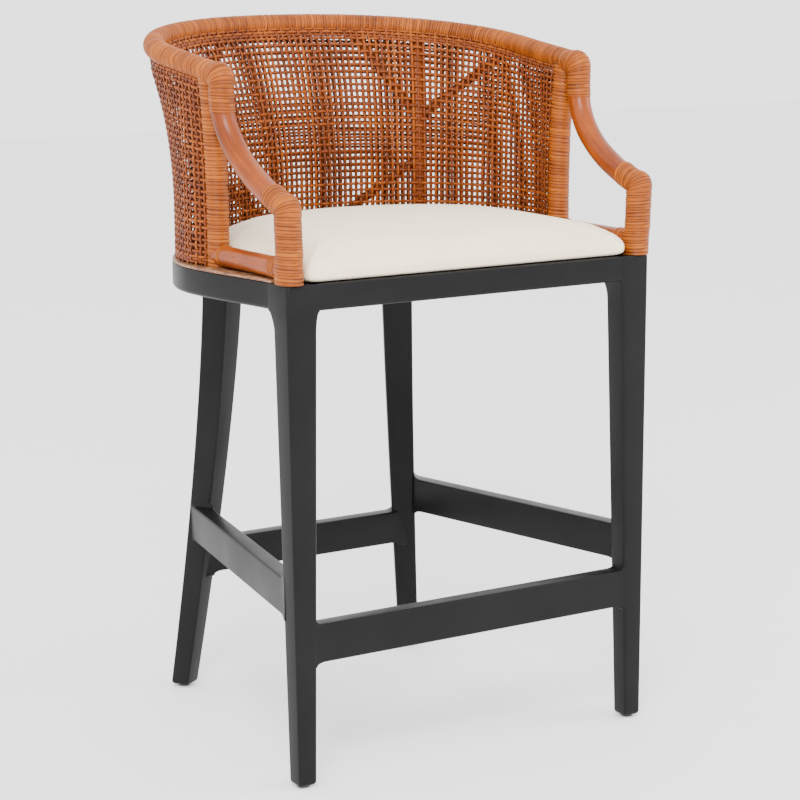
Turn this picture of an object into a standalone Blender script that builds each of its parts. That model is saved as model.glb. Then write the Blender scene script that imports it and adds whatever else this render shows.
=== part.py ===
"""Counter-height bar stool: a painted hardwood base with a footrest, a cane-covered
rattan barrel back, bent rattan arms and an upholstered seat.

Units are metres, +Z is up and the front of the stool faces -Y. Distances along Y are
given from the front face of the front legs. One empty carries the whole stool and puts
the middle of its footprint on the origin.
"""

import math

import bmesh
import bpy
from mathutils import Vector

# ---------------------------------------------------------------- driving dimensions
FRONT_WIDTH = 0.525            # across the outer faces of the front legs
SEAT_FRAME_TOP = 0.6075        # top of the painted seat frame
BACK_HEIGHT = 0.888            # middle of the rim pole at the centre of the back
ELBOW_HEIGHT = 0.842           # middle of the rim pole where it turns down into an arm
FIT_GAP = 0.0003               # space left between pieces that touch

# ---------------------------------------------------------------- seat frame
HALF_FRONT = FRONT_WIDTH / 2
FRAME_BOTTOM = SEAT_FRAME_TOP - 0.0315
FRAME_SIDE_HALF = 0.2845       # half of the frame's greatest width
FRAME_WIDEST_Y = 0.210
FRAME_BACK_Y = 0.4545
FRAME_BACK_POWER = 1.8         # 2 is an ellipse; less gives a tighter turn at the sides
RAIL_WIDTH = 0.044             # side and back rails, measured across in plan
RAIL_EDGE_RADIUS = 0.005       # lower outer edge of the side and back rails
TOP_EDGE_SHARE = 0.35          # radius of a rail's upper outer edge over its lower one
FRONT_RAIL_THICKNESS = 0.030
FRONT_RAIL_EDGE_RADIUS = 0.004
FRAME_SAMPLES = 60             # even steps along the frame's outline
BACK_STEPS = 240               # steps of a round back before they are evened out
RAIL_JOINT_STEP = 20           # step where a side rail meets the back rail

# ---------------------------------------------------------------- legs and stretchers
FRONT_HEAD = 0.045             # width and depth of a front leg between the rails
FRONT_TOP_SIZE = (0.0400, 0.0360)
FRONT_FOOT_SIZE = (0.0240, 0.0250)
FRONT_FOOT_SHIFT = (-0.0060, -0.0045)   # outer face inward, front face forward
REAR_TOP_CENTRE = (0.1352, 0.3960)
REAR_FOOT_CENTRE = (0.1817, 0.4410)
REAR_TOP_SIZE = (0.0425, 0.0385)        # across its outward direction, then along it
REAR_FOOT_SIZE = (0.0275, 0.0265)
REAR_FACING = math.radians(60)          # outward direction, from +X towards +Y
REAR_SPLAY_POWER = 1.4
LEG_CORNER_RADIUS = 0.0045
FLARE_HEIGHT = 0.026           # a front leg widens over this height into its head
FOOT_LEVELS = ((0.0028, 0.0), (0.0008, 0.002), (0.0, 0.006))    # inset, rise
FOOT_CORNER_SHARE = 0.8        # radius of a foot's upright corners over that of the leg's top
GLIDE_THICKNESS = 0.003
LEG_BOTTOM = GLIDE_THICKNESS + FIT_GAP

STRETCHER_THICKNESS = 0.023
FOOTREST_Z = (0.1530, 0.2005)
SIDE_STRETCHER_Z = (0.2090, 0.2550)
BACK_STRETCHER_Z = (0.1610, 0.2060)
BACK_STRETCHER_Y = 0.4215
STRETCHER_FLARE = 0.004        # extra height at a stretcher's ends
STRETCHER_FLARE_LENGTH = 0.012
FLARE_STEPS = ((0.0, 1.0), (0.35, 0.42), (0.7, 0.09), (1.0, 0.0))    # shares of its length, height
SHOULDER_DEPTH = 0.0015        # a side stretcher's end plane, in from the rear leg's face
STRETCHER_EDGE = 0.003         # chamfer along a stretcher's edges

# ---------------------------------------------------------------- rattan work
RIM_RADIUS = 0.0135
ARM_RADIUS = 0.0143
LOWER_RAIL_RADIUS = 0.0125
BINDING_THICKNESS = 0.0009
FRONT_POST_RADIUS = 0.0162
END_POST_RADIUS = 0.0137
RIB_RADIUS = 0.0115
BRACE_RADIUS = 0.0065
HOOP_RADIUS = 0.0105
CANE_OFFSET = 0.0130           # middle of a cane panel, out from the poles' middle
CANE_THICKNESS = 0.0016
TRIM_THICKNESS = 0.0035
TRIM_WIDTH = 0.0305
TRIM_INSET = 0.0005            # the trim's outer edge, in from the frame's

TRIM_BOTTOM = SEAT_FRAME_TOP + FIT_GAP
TRIM_TOP = TRIM_BOTTOM + TRIM_THICKNESS
HOOP_Z = TRIM_TOP + FIT_GAP + HOOP_RADIUS
LOWER_RAIL_Z = TRIM_TOP + 0.001 + LOWER_RAIL_RADIUS

FRONT_POST_X = 0.2515
FRONT_POST_Y = 0.0115
FRONT_POST_TOP = 0.7025
END_POST_Y = 0.182
END_POST_RISE = 0.965          # an end post's top saddles the underside of the rim pole
ELBOW_Y = 0.1515
ELBOW_BEND = 0.018             # radius of the rim pole's bend into the arm
ARM_TOP_Z = ELBOW_HEIGHT - ELBOW_BEND - 0.004
ARM_END_Z = 0.6945
ELBOW_BINDING_BOTTOM = 0.800

BASE_PLAN = {"side_half": 0.262, "side_y": 0.210, "back_y": 0.420, "taper": 0.268, "power": 2.0}
RIM_PLAN = {"side_half": 0.264, "side_y": 0.280, "back_y": 0.4705, "taper": 0.010, "power": 2.22}
RIM_RISE_POWER = 1.1
LEAN_START = 0.2               # share of the height below which the barrel stands upright
LEAN_POWER = 2.0

RIB_COLUMN = 0.29              # share of the way round the barrel, from the right end post
BRACES = {                     # name: rise on the rib, column of the far end, rise of the far end
    "upper_inner_brace": (0.53, 0.40, 1.0),
    "upper_outer_brace": (0.53, 0.12, 1.0),
    "lower_inner_brace": (0.33, 0.44, 0.0),
}

# ---------------------------------------------------------------- seat
BOARD_THICKNESS = 0.0115
BOARD_TOP = SEAT_FRAME_TOP - FIT_GAP
BOARD_BOTTOM = BOARD_TOP - BOARD_THICKNESS
BLOCK_TOP = BOARD_BOTTOM - FIT_GAP
BLOCK_BOTTOM = BLOCK_TOP - 0.0155
BLOCK_REACH = 0.060            # length of a corner block along the front rail
BLOCK_STEP = 4                 # step of the outline where it ends along the side rail
CLEAT_WIDTH = 0.030
CLEAT_STEPS = (15, 25)
SCREW_SHANK_RADIUS = 0.0022
SCREW_HEAD_RADIUS = 0.0045
SCREW_HEAD_HEIGHT = 0.0028
SCREW_HOLE_RADIUS = 0.0026
SCREW_TIP = BOARD_BOTTOM + 0.0075

CUSHION_BOTTOM = SEAT_FRAME_TOP + 0.0004
CUSHION_CROWN = 0.660
CUSHION_FRONT_Y = 0.002
CUSHION_FRONT_HALF = 0.2345
CUSHION_SIDE_HALF = 0.2405
CUSHION_SIDE_Y = 0.215
CUSHION_BACK_Y = 0.401
CUSHION_CORNER = 0.014

# the front post stands furthest forward and the rim pole furthest back
FOOTPRINT_MIDDLE_Y = (FRONT_POST_Y - FRONT_POST_RADIUS + RIM_PLAN["back_y"] + RIM_RADIUS) / 2

UP = Vector((0.0, 0.0, 1.0))
FINISHES = {                   # colour, roughness, metallic
    "painted_wood": ((0.045, 0.045, 0.050), 0.45, 0.0),
    "bare_wood": ((0.550, 0.380, 0.220), 0.75, 0.0),
    "polished_rattan": ((0.500, 0.190, 0.060), 0.30, 0.0),
    "cane_binding": ((0.480, 0.200, 0.070), 0.50, 0.0),
    "cane_weave": ((0.420, 0.180, 0.080), 0.55, 0.0),
    "trim_wood": ((0.560, 0.360, 0.200), 0.50, 0.0),
    "cushion_fabric": ((0.880, 0.820, 0.730), 0.85, 0.0),
    "zinc_steel": ((0.600, 0.600, 0.580), 0.35, 1.0),
    "nylon": ((0.080, 0.080, 0.080), 0.60, 0.0),
}


# ---------------------------------------------------------------- scene and mesh helpers
def clear_scene():
    for old in list(bpy.data.objects):
        bpy.data.objects.remove(old, do_unlink=True)


def make_carrier():
    """The empty that every piece hangs on."""
    carrier = bpy.data.objects.new("stool", None)
    carrier.location = (0.0, -FOOTPRINT_MIDDLE_Y, 0.0)
    bpy.context.scene.collection.objects.link(carrier)
    return carrier


def make_material(name, finish):
    colour, roughness, metallic = FINISHES[finish]
    material = bpy.data.materials.new(name)
    material.use_nodes = True
    shader = material.node_tree.nodes["Principled BSDF"]
    shader.inputs["Base Color"].default_value = (*colour, 1.0)
    shader.inputs["Roughness"].default_value = roughness
    shader.inputs["Metallic"].default_value = metallic
    return material


def make_piece(name, points, faces, finish):
    """A closed mesh object with outward faces; finish None makes a cutter."""
    mesh = bpy.data.meshes.new(name)
    mesh.from_pydata([tuple(point) for point in points], [], faces)
    shape = bmesh.new()
    shape.from_mesh(mesh)
    bmesh.ops.recalc_face_normals(shape, faces=shape.faces)
    shape.to_mesh(mesh)
    shape.free()
    mesh.shade_smooth()
    mesh.set_sharp_from_angle(angle=math.radians(35))
    piece = bpy.data.objects.new(name, mesh)
    bpy.context.scene.collection.objects.link(piece)
    piece.parent = bpy.data.objects["stool"]
    if finish is None:
        piece.hide_render = True
        piece.display_type = "WIRE"
    else:
        mesh.materials.append(make_material(name, finish))
    return piece


def loft(name, rings, finish):
    """Skin a row of rings that have the same number of points, and cap both ends."""
    count = len(rings[0])
    points = [point for ring in rings for point in ring]
    faces = [tuple(reversed(range(count)))]
    for row in range(len(rings) - 1):
        for step in range(count):
            following = (step + 1) % count
            faces.append((
                row * count + step,
                row * count + following,
                (row + 1) * count + following,
                (row + 1) * count + step,
            ))
    faces.append(tuple(range((len(rings) - 1) * count, len(rings) * count)))
    return make_piece(name, points, faces, finish)


def cut(piece, cutters):
    """Take each cutter away from the piece with an exact boolean."""
    for cutter in cutters:
        step = piece.modifiers.new(cutter.name, "BOOLEAN")
        step.operation = "DIFFERENCE"
        step.solver = "EXACT"
        step.object = cutter


def mirrored(points):
    return [Vector((-point.x, point.y, point.z)) for point in points]


def side_name(side):
    return "right" if side > 0 else "left"


def tangents(path):
    found = []
    for step in range(len(path)):
        before = path[max(step - 1, 0)]
        after = path[min(step + 1, len(path) - 1)]
        found.append((after - before).normalized())
    return found


def circle_rings(path, outward, radii, sides):
    """Circles square to the path; outward is one direction or one for each point."""
    rings = []
    for step, along in enumerate(tangents(path)):
        reference = outward[step] if isinstance(outward, list) else outward
        across = (reference - along * reference.dot(along)).normalized()
        over = along.cross(across)
        ring = []
        for corner in range(sides):
            angle = 2 * math.pi * corner / sides
            arm = across * math.cos(angle) + over * math.sin(angle)
            ring.append(path[step] + arm * radii[step])
        rings.append(ring)
    return rings


def pole(name, path, outward, radius, finish, sides=12):
    return loft(name, circle_rings(path, outward, [radius] * len(path), sides), finish)


def sleeve(name, path, outward, inner_radius, outer_radius, finish, sides=12):
    """A short hollow tube around a path."""
    outer = circle_rings(path, outward, [outer_radius] * len(path), sides)
    inner = circle_rings(path, outward, [inner_radius] * len(path), sides)
    loop = outer + list(reversed(inner))
    points = [point for ring in loop for point in ring]
    faces = []
    for row in range(len(loop)):
        for step in range(sides):
            following = (step + 1) % sides
            next_row = (row + 1) % len(loop)
            faces.append((
                row * sides + step,
                row * sides + following,
                next_row * sides + following,
                next_row * sides + step,
            ))
    return make_piece(name, points, faces, finish)


def prism(name, outline, low, high, finish):
    """An outline in plan, given as (x, y) pairs, between two heights."""
    rings = [[Vector((x, y, z)) for x, y in outline] for z in (low, high)]
    return loft(name, rings, finish)


# ---------------------------------------------------------------- curves
def blend(low, high, share):
    return low + (high - low) * share


def resample(points, count):
    """Points at even distances along a polyline, both ends kept."""
    lengths = [0.0]
    for before, after in zip(points, points[1:]):
        lengths.append(lengths[-1] + (after - before).length)
    even = []
    piece = 0
    for step in range(count):
        wanted = lengths[-1] * step / (count - 1)
        while piece < len(points) - 2 and lengths[piece + 1] < wanted:
            piece += 1
        span = lengths[piece + 1] - lengths[piece]
        even.append(points[piece].lerp(points[piece + 1], (wanted - lengths[piece]) / span))
    return even


def bezier(start, start_handle, end_handle, end, count):
    path = []
    for step in range(count):
        t = step / (count - 1)
        u = 1 - t
        path.append(
            start * u**3 + start_handle * 3 * u * u * t + end_handle * 3 * u * t * t + end * t**3
        )
    return path


def round_back(half, side_y, back_y, power):
    """From the right side round the back to the left one, as half a superellipse."""
    points = []
    for step in range(BACK_STEPS + 1):
        angle = math.pi * step / BACK_STEPS
        across = math.copysign(abs(math.cos(angle)) ** (2 / power), math.cos(angle))
        back = abs(math.sin(angle)) ** (2 / power)
        points.append(Vector((half * across, blend(side_y, back_y, back), 0.0)))
    return points


def horseshoe(plan, start_y, count):
    """Even points round a horseshoe in plan, from its right front end to its left one."""
    half, side_y = plan["side_half"], plan["side_y"]
    end_half = half - plan["taper"] * (side_y - start_y)
    back = round_back(half, side_y, plan["back_y"], plan["power"])
    ends = [Vector((end_half, start_y, 0.0)), Vector((-end_half, start_y, 0.0))]
    return resample(ends[:1] + back + ends[1:], count)


BARREL_STEPS = 240
BASE_LINE = horseshoe(BASE_PLAN, END_POST_Y, BARREL_STEPS + 1)
RIM_LINE = horseshoe(RIM_PLAN, END_POST_Y, BARREL_STEPS + 1)


def along_line(line, share):
    place = min(max(share, 0.0), 1.0) * (len(line) - 1)
    first = min(int(place), len(line) - 2)
    return line[first].lerp(line[first + 1], place - first)


def rim_height(y):
    share = max(0.0, (y - ELBOW_Y) / (RIM_PLAN["back_y"] - ELBOW_Y))
    return blend(ELBOW_HEIGHT, BACK_HEIGHT, share**RIM_RISE_POWER)


def barrel_middle(column, rise):
    """A point on the barrel's middle surface: rise 0 is the base hoop, 1 is the rim."""
    low = along_line(BASE_LINE, column)
    high = along_line(RIM_LINE, column)
    lean = max(0.0, (rise - LEAN_START) / (1 - LEAN_START)) ** LEAN_POWER
    spot = low.lerp(high, lean)
    spot.z = blend(HOOP_Z, rim_height(high.y), rise)
    return spot


def barrel_normal(column, rise):
    step = 0.004
    first, last = max(column - step, 0.0), min(column + step, 1.0)
    round_way = barrel_middle(last, rise) - barrel_middle(first, rise)
    up_way = barrel_middle(column, rise + step) - barrel_middle(column, rise - step)
    return round_way.cross(up_way).normalized()


def barrel_point(column, rise, offset=0.0):
    return barrel_middle(column, rise) + barrel_normal(column, rise) * offset


def rise_at_height(column, z):
    top = rim_height(along_line(RIM_LINE, column).y)
    return (z - HOOP_Z) / (top - HOOP_Z)


# ---------------------------------------------------------------- seat frame
def frame_side_half(y):
    """Half of the frame's width ahead of its widest place."""
    swell = (1 - math.cos(math.pi * min(y / FRAME_WIDEST_Y, 1.0))) / 2
    return blend(HALF_FRONT, FRAME_SIDE_HALF, swell)


def frame_outline():
    """Even points round the frame's outer edge, from the right front corner to the left."""
    side = []
    for step in range(40):
        y = FRAME_WIDEST_Y * step / 40
        side.append(Vector((frame_side_half(y), y, 0.0)))
    back = round_back(FRAME_SIDE_HALF, FRAME_WIDEST_Y, FRAME_BACK_Y, FRAME_BACK_POWER)
    points = side + back + mirrored(reversed(side))
    return resample(points, FRAME_SAMPLES + 1)


FRAME_LINE = frame_outline()
FRAME_DIRECTIONS = tangents(FRAME_LINE)


def inset_point(step, inset):
    """A point inside the frame's outline, square in from one of its steps."""
    along = FRAME_DIRECTIONS[step]
    return FRAME_LINE[step] + Vector((-along.y, along.x, 0.0)) * inset


def frame_sweep(name, first, last, section, finish, end_gap=0.0):
    """Sweep a section of (inset from the outer edge, height) pairs along the outline."""
    rings = []
    for step in range(first, last + 1):
        shift = FRAME_DIRECTIONS[step] * end_gap * ((step == first) - (step == last))
        rings.append([inset_point(step, inset) + shift + UP * z for inset, z in section])
    return loft(name, rings, finish)


def rounded_section(width, low, high, radius):
    """A rail's section with its two outer edges rounded."""
    corner = []
    for step in range(4):
        angle = math.pi / 2 * step / 3
        corner.append((radius * (1 - math.sin(angle)), radius * (1 - math.cos(angle))))
    lower = [(inset, low + rise) for inset, rise in corner]
    upper = [
        (inset * TOP_EDGE_SHARE, high - rise * TOP_EDGE_SHARE) for inset, rise in reversed(corner)
    ]
    return lower + upper + [(width, high), (width, low)]


def make_rails():
    section = rounded_section(RAIL_WIDTH, FRAME_BOTTOM, SEAT_FRAME_TOP, RAIL_EDGE_RADIUS)
    head_space = prism(
        "front_head_space",
        [(-0.4, -0.1), (0.4, -0.1), (0.4, FRONT_HEAD + FIT_GAP), (-0.4, FRONT_HEAD + FIT_GAP)],
        FRAME_BOTTOM - 0.05,
        SEAT_FRAME_TOP + 0.05,
        None,
    )
    joint = RAIL_JOINT_STEP
    for name, first, last in (
        ("right_side_rail", 3, joint),
        ("left_side_rail", FRAME_SAMPLES - joint, FRAME_SAMPLES - 3),
    ):
        rail = frame_sweep(name, first, last, section, "painted_wood", FIT_GAP / 2)
        cut(rail, [head_space])
    frame_sweep(
        "back_rail", joint, FRAME_SAMPLES - joint, section, "painted_wood", FIT_GAP / 2 + 0.0001
    )
    half = HALF_FRONT - FRONT_HEAD - FIT_GAP
    rings = []
    for x in (-half, half):
        rings.append([
            Vector((x, inset, height))
            for inset, height in rounded_section(
                FRONT_RAIL_THICKNESS, FRAME_BOTTOM, SEAT_FRAME_TOP, FRONT_RAIL_EDGE_RADIUS
            )
        ])
    loft("front_rail", rings, "painted_wood")


# ---------------------------------------------------------------- legs
def rounded_box_ring(centre, across, along, size, radius, z):
    """A rounded rectangle in plan; across and along are its two directions."""
    half_across = size[0] / 2 - radius
    half_along = size[1] / 2 - radius
    ring = []
    for quarter, (sx, sy) in enumerate(((1, 1), (-1, 1), (-1, -1), (1, -1))):
        for step in range(4):
            angle = math.pi / 2 * (quarter + step / 3)
            reach_across = sx * half_across + radius * math.cos(angle)
            reach_along = sy * half_along + radius * math.sin(angle)
            spot = centre + across * reach_across + along * reach_along
            ring.append(Vector((spot.x, spot.y, z)))
    return ring


def front_leg_box(side, z):
    """Centre and size of a front leg at a height below its head."""
    drop = 1 - (z - LEG_BOTTOM) / (FRAME_BOTTOM - LEG_BOTTOM)
    width = blend(FRONT_TOP_SIZE[0], FRONT_FOOT_SIZE[0], drop)
    depth = blend(FRONT_TOP_SIZE[1], FRONT_FOOT_SIZE[1], drop)
    outer_x = HALF_FRONT + FRONT_FOOT_SHIFT[0] * drop
    front_y = FRONT_FOOT_SHIFT[1] * drop
    centre = Vector((side * (outer_x - width / 2), front_y + depth / 2, 0.0))
    return centre, (width, depth)


def make_front_leg(side):
    x_way, y_way = Vector((1.0, 0.0, 0.0)), Vector((0.0, 1.0, 0.0))
    rings = []
    for inset, rise in FOOT_LEVELS:
        centre, size = front_leg_box(side, LEG_BOTTOM + rise)
        trimmed = (size[0] - 2 * inset, size[1] - 2 * inset)
        foot_radius = LEG_CORNER_RADIUS * FOOT_CORNER_SHARE
        rings.append(
            rounded_box_ring(centre, x_way, y_way, trimmed, foot_radius, LEG_BOTTOM + rise)
        )
    flare_start = FRAME_BOTTOM - FLARE_HEIGHT
    for step in range(6):
        drop = step / 5
        z = blend(flare_start, FRAME_BOTTOM, drop)
        centre, size = front_leg_box(side, z)
        swell = 1 - math.sqrt(1 - drop * drop)
        grown = (blend(size[0], FRONT_HEAD, swell), blend(size[1], FRONT_HEAD, swell))
        outer_x = abs(centre.x) + size[0] / 2
        front_y = centre.y - size[1] / 2
        moved = Vector((side * (outer_x - grown[0] / 2), front_y + grown[1] / 2, 0.0))
        rings.append(rounded_box_ring(moved, x_way, y_way, grown, LEG_CORNER_RADIUS, z))
    head = Vector((side * (HALF_FRONT - FRONT_HEAD / 2), FRONT_HEAD / 2, 0.0))
    size = (FRONT_HEAD, FRONT_HEAD)
    rings.append(
        rounded_box_ring(head, x_way, y_way, size, LEG_CORNER_RADIUS, SEAT_FRAME_TOP)
    )
    return loft(f"front_{side_name(side)}_leg", rings, "painted_wood")


def rear_directions(side):
    outward = Vector((side * math.cos(REAR_FACING), math.sin(REAR_FACING), 0.0))
    across = Vector((side * math.sin(REAR_FACING), -math.cos(REAR_FACING), 0.0))
    return across, outward


def rear_leg_box(side, z):
    drop = 1 - (z - LEG_BOTTOM) / (FRAME_BOTTOM - LEG_BOTTOM)
    reach = drop**REAR_SPLAY_POWER
    centre = Vector((
        side * blend(REAR_TOP_CENTRE[0], REAR_FOOT_CENTRE[0], reach),
        blend(REAR_TOP_CENTRE[1], REAR_FOOT_CENTRE[1], reach),
        0.0,
    ))
    size = (
        blend(REAR_TOP_SIZE[0], REAR_FOOT_SIZE[0], drop),
        blend(REAR_TOP_SIZE[1], REAR_FOOT_SIZE[1], drop),
    )
    return centre, size


def rear_leg_rings(side, growth=0.0):
    across, outward = rear_directions(side)
    levels = list(FOOT_LEVELS)
    top = FRAME_BOTTOM - FIT_GAP
    for step in range(1, 9):
        levels.append((0.0, (top - LEG_BOTTOM) * step / 8))
    rings = []
    for inset, rise in levels:
        centre, size = rear_leg_box(side, LEG_BOTTOM + rise)
        trim = 2 * (growth - inset)
        trimmed = (size[0] + trim, size[1] + trim)
        radius = LEG_CORNER_RADIUS * FOOT_CORNER_SHARE + growth
        rings.append(rounded_box_ring(centre, across, outward, trimmed, radius, LEG_BOTTOM + rise))
    return rings


def make_rear_leg(side):
    return loft(f"rear_{side_name(side)}_leg", rear_leg_rings(side), "painted_wood")


def make_glide(side, row, centre):
    middle = Vector((centre.x, centre.y, 0.0))
    path = [middle, middle + UP * GLIDE_THICKNESS]
    pole(f"{row}_{side_name(side)}_glide", path, Vector((1.0, 0.0, 0.0)), 0.008, "nylon")


# ---------------------------------------------------------------- stretchers
def bar(name, start, end, start_plane, end_plane, heights):
    """A straight bar between two upright planes, a little deeper at its ends.

    start and end are the middle of the bar in plan; each plane is (point, normal).
    """
    along = (end - start).normalized()
    across = Vector((along.y, -along.x, 0.0))
    low, high = heights
    half = STRETCHER_THICKNESS / 2
    edge = STRETCHER_EDGE
    stations = [(start_plane, STRETCHER_FLARE_LENGTH * share, swell) for share, swell in FLARE_STEPS]
    stations += [
        (end_plane, -STRETCHER_FLARE_LENGTH * share, swell) for share, swell in reversed(FLARE_STEPS)
    ]
    rings = []
    for (point, normal), place, swell in stations:
        grow = STRETCHER_FLARE * swell
        section = [
            (half - edge, low - grow),
            (half, low - grow + edge),
            (half, high + grow - edge),
            (half - edge, high + grow),
            (edge - half, high + grow),
            (-half, high + grow - edge),
            (-half, low - grow + edge),
            (edge - half, low - grow),
        ]
        ring = []
        for sideways, z in section:
            line = start + across * sideways
            to_plane = (point - line).dot(normal) / along.dot(normal)
            spot = line + along * (to_plane + place)
            ring.append(Vector((spot.x, spot.y, z)))
        rings.append(ring)
    return loft(name, rings, "painted_wood")


def make_footrest():
    centre, size = front_leg_box(1, FOOTREST_Z[1] + STRETCHER_FLARE)
    inner_x = centre.x - size[0] / 2 - FIT_GAP
    front_y = centre.y - size[1] / 2
    y = front_y + STRETCHER_THICKNESS / 2
    start, end = Vector((-inner_x, y, 0.0)), Vector((inner_x, y, 0.0))
    x_way = Vector((1.0, 0.0, 0.0))
    bar("front_stretcher", start, end, (start, x_way), (end, x_way), FOOTREST_Z)


def make_side_stretcher(side):
    """Its outer face runs from the front leg's outer face to the rear leg's outer corner.

    Its rear end is cut to the leaning face of the rear leg.
    """
    thickest = SIDE_STRETCHER_Z[1] + STRETCHER_FLARE
    front_centre, front_size = front_leg_box(side, thickest)
    rear_centre, rear_size = rear_leg_box(side, thickest)
    across, outward = rear_directions(side)
    corner = rear_centre + outward * (rear_size[1] / 2 - 0.002) + across * (rear_size[0] / 2)
    start = Vector((
        front_centre.x + side * (front_size[0] / 2 - 0.0005),
        front_centre.y + front_size[1] / 2,
        0.0,
    ))
    along = (corner - start).normalized()
    inward = Vector((-side * along.y, side * along.x, 0.0)) * (STRETCHER_THICKNESS / 2)
    y_way = Vector((0.0, 1.0, 0.0))
    start_plane = (start + y_way * FIT_GAP, y_way)
    end_plane = (rear_centre + across * (rear_size[0] / 2 - SHOULDER_DEPTH), across)
    name = f"{side_name(side)}_side_stretcher"
    stretcher = bar(
        name, start + inward, corner + inward, start_plane, end_plane, SIDE_STRETCHER_Z
    )
    leg_space = loft(f"{name}_leg_space", rear_leg_rings(side, growth=FIT_GAP), None)
    cut(stretcher, [leg_space])


def make_back_stretcher():
    """Its ends are notched over the corners of the rear legs."""
    centre, _ = rear_leg_box(1, sum(BACK_STRETCHER_Z) / 2)
    start = Vector((-centre.x, BACK_STRETCHER_Y, 0.0))
    end = Vector((centre.x, BACK_STRETCHER_Y, 0.0))
    x_way = Vector((1.0, 0.0, 0.0))
    stretcher = bar("back_stretcher", start, end, (start, x_way), (end, x_way), BACK_STRETCHER_Z)
    cutters = []
    for side in (-1, 1):
        rings = rear_leg_rings(side, growth=FIT_GAP)
        cutters.append(loft(f"rear_{side_name(side)}_leg_space", rings, None))
    cut(stretcher, cutters)


# ---------------------------------------------------------------- seat
def screw_places():
    front = [Vector((side * 0.203, 0.048, 0.0)) for side in (-1, 1)]
    middle = sum(CLEAT_STEPS) // 2
    inset = RAIL_WIDTH + CLEAT_WIDTH / 2
    rear = [inset_point(step, inset) for step in (FRAME_SAMPLES - middle, middle)]
    return front + rear


def make_screw(number, place):
    levels = [
        (SCREW_HEAD_RADIUS, BLOCK_BOTTOM - FIT_GAP - SCREW_HEAD_HEIGHT),
        (SCREW_HEAD_RADIUS, BLOCK_BOTTOM - FIT_GAP),
        (SCREW_SHANK_RADIUS, BLOCK_BOTTOM - FIT_GAP + 0.0001),
        (SCREW_SHANK_RADIUS, SCREW_TIP - 0.002),
        (SCREW_SHANK_RADIUS * 0.3, SCREW_TIP),
    ]
    rings = []
    for radius, z in levels:
        ring = []
        for corner in range(10):
            angle = 2 * math.pi * corner / 10
            arm = Vector((math.cos(angle), math.sin(angle), 0.0))
            ring.append(place + arm * radius + UP * z)
        rings.append(ring)
    loft(f"seat_screw_{number}", rings, "zinc_steel")


def screw_hole(number, place):
    path = [place + UP * (BLOCK_BOTTOM - 0.01), place + UP * (SCREW_TIP + 0.001)]
    return pole(f"screw_space_{number}", path, Vector((1.0, 0.0, 0.0)), SCREW_HOLE_RADIUS, None, 10)


def make_seat_support():
    """Seat board in the frame, corner blocks and cleats under it, and their screws."""
    gap = 0.0006
    blocks = []
    for side in (-1, 1):
        along_rail = inset_point(BLOCK_STEP, RAIL_WIDTH + gap)
        outline = [
            (side * (HALF_FRONT - FRONT_HEAD - gap), FRONT_RAIL_THICKNESS + gap),
            (side * (HALF_FRONT - FRONT_HEAD - gap), FRONT_HEAD + gap),
            (side * along_rail.x, along_rail.y),
            (side * (HALF_FRONT - FRONT_HEAD - BLOCK_REACH), FRONT_RAIL_THICKNESS + gap),
        ]
        name = f"front_{side_name(side)}_corner_block"
        blocks.append(prism(name, outline, BLOCK_BOTTOM, BLOCK_TOP, "bare_wood"))
    inner, outer = RAIL_WIDTH + CLEAT_WIDTH, RAIL_WIDTH + gap
    section = [(outer, BLOCK_BOTTOM), (outer, BLOCK_TOP), (inner, BLOCK_TOP), (inner, BLOCK_BOTTOM)]
    first, last = CLEAT_STEPS
    for side, start, end in (
        (-1, FRAME_SAMPLES - last, FRAME_SAMPLES - first),
        (1, first, last),
    ):
        name = f"rear_{side_name(side)}_cleat"
        blocks.append(frame_sweep(name, start, end, section, "bare_wood"))
    board = prism("seat_board", board_outline(gap), BOARD_BOTTOM, BOARD_TOP, "bare_wood")
    holes = []
    for number, place in enumerate(screw_places(), start=1):
        make_screw(number, place)
        holes.append(screw_hole(number, place))
    for block, hole in zip(blocks, holes):
        cut(block, [hole])
    cut(board, holes)


def board_outline(gap):
    corner_x = HALF_FRONT - FRONT_HEAD - gap
    right = [(corner_x, FRONT_RAIL_THICKNESS + gap), (corner_x, FRONT_HEAD + gap)]
    curve = []
    for step in range(3, FRAME_SAMPLES - 2):
        spot = inset_point(step, RAIL_WIDTH + gap)
        curve.append((spot.x, spot.y))
    left = [(-x, y) for x, y in reversed(right)]
    return right + curve + left


def cushion_outline(inset):
    """Plan of the cushion: straight front, near-straight sides and a round back."""
    half_front = CUSHION_FRONT_HALF - inset
    half_side = CUSHION_SIDE_HALF - inset
    front_y = CUSHION_FRONT_Y + inset
    depth = CUSHION_BACK_Y - inset - CUSHION_SIDE_Y
    corner = max(CUSHION_CORNER - inset * 0.3, 0.006)
    half = []
    for step in range(5):
        angle = math.pi / 2 * step / 4
        x = half_front - corner + corner * math.sin(angle)
        half.append(Vector((x, front_y + corner - corner * math.cos(angle), 0.0)))
    for step in range(1, 4):
        share = step / 4
        y = blend(front_y + corner, CUSHION_SIDE_Y, share)
        half.append(Vector((blend(half_front, half_side, share), y, 0.0)))
    for step in range(10):
        angle = math.pi / 2 * step / 9
        x = half_side * math.cos(angle)
        half.append(Vector((x, CUSHION_SIDE_Y + depth * math.sin(angle), 0.0)))
    return half + mirrored(reversed(half[:-1]))


def make_cushion():
    """A plain crowned pad that rests on the frame and the seat board."""
    rise = CUSHION_CROWN - CUSHION_BOTTOM
    levels = (       # inset of the outline, share of the full height
        (0.010, 0.0), (0.001, 0.12), (0.0, 0.28), (0.005, 0.46),
        (0.018, 0.64), (0.045, 0.80), (0.090, 0.92), (0.150, 1.0),
    )
    rings = []
    for inset, share in levels:
        z = CUSHION_BOTTOM + rise * share
        rings.append([point + UP * z for point in cushion_outline(inset)])
    loft("seat_cushion", rings, "cushion_fabric")


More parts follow.
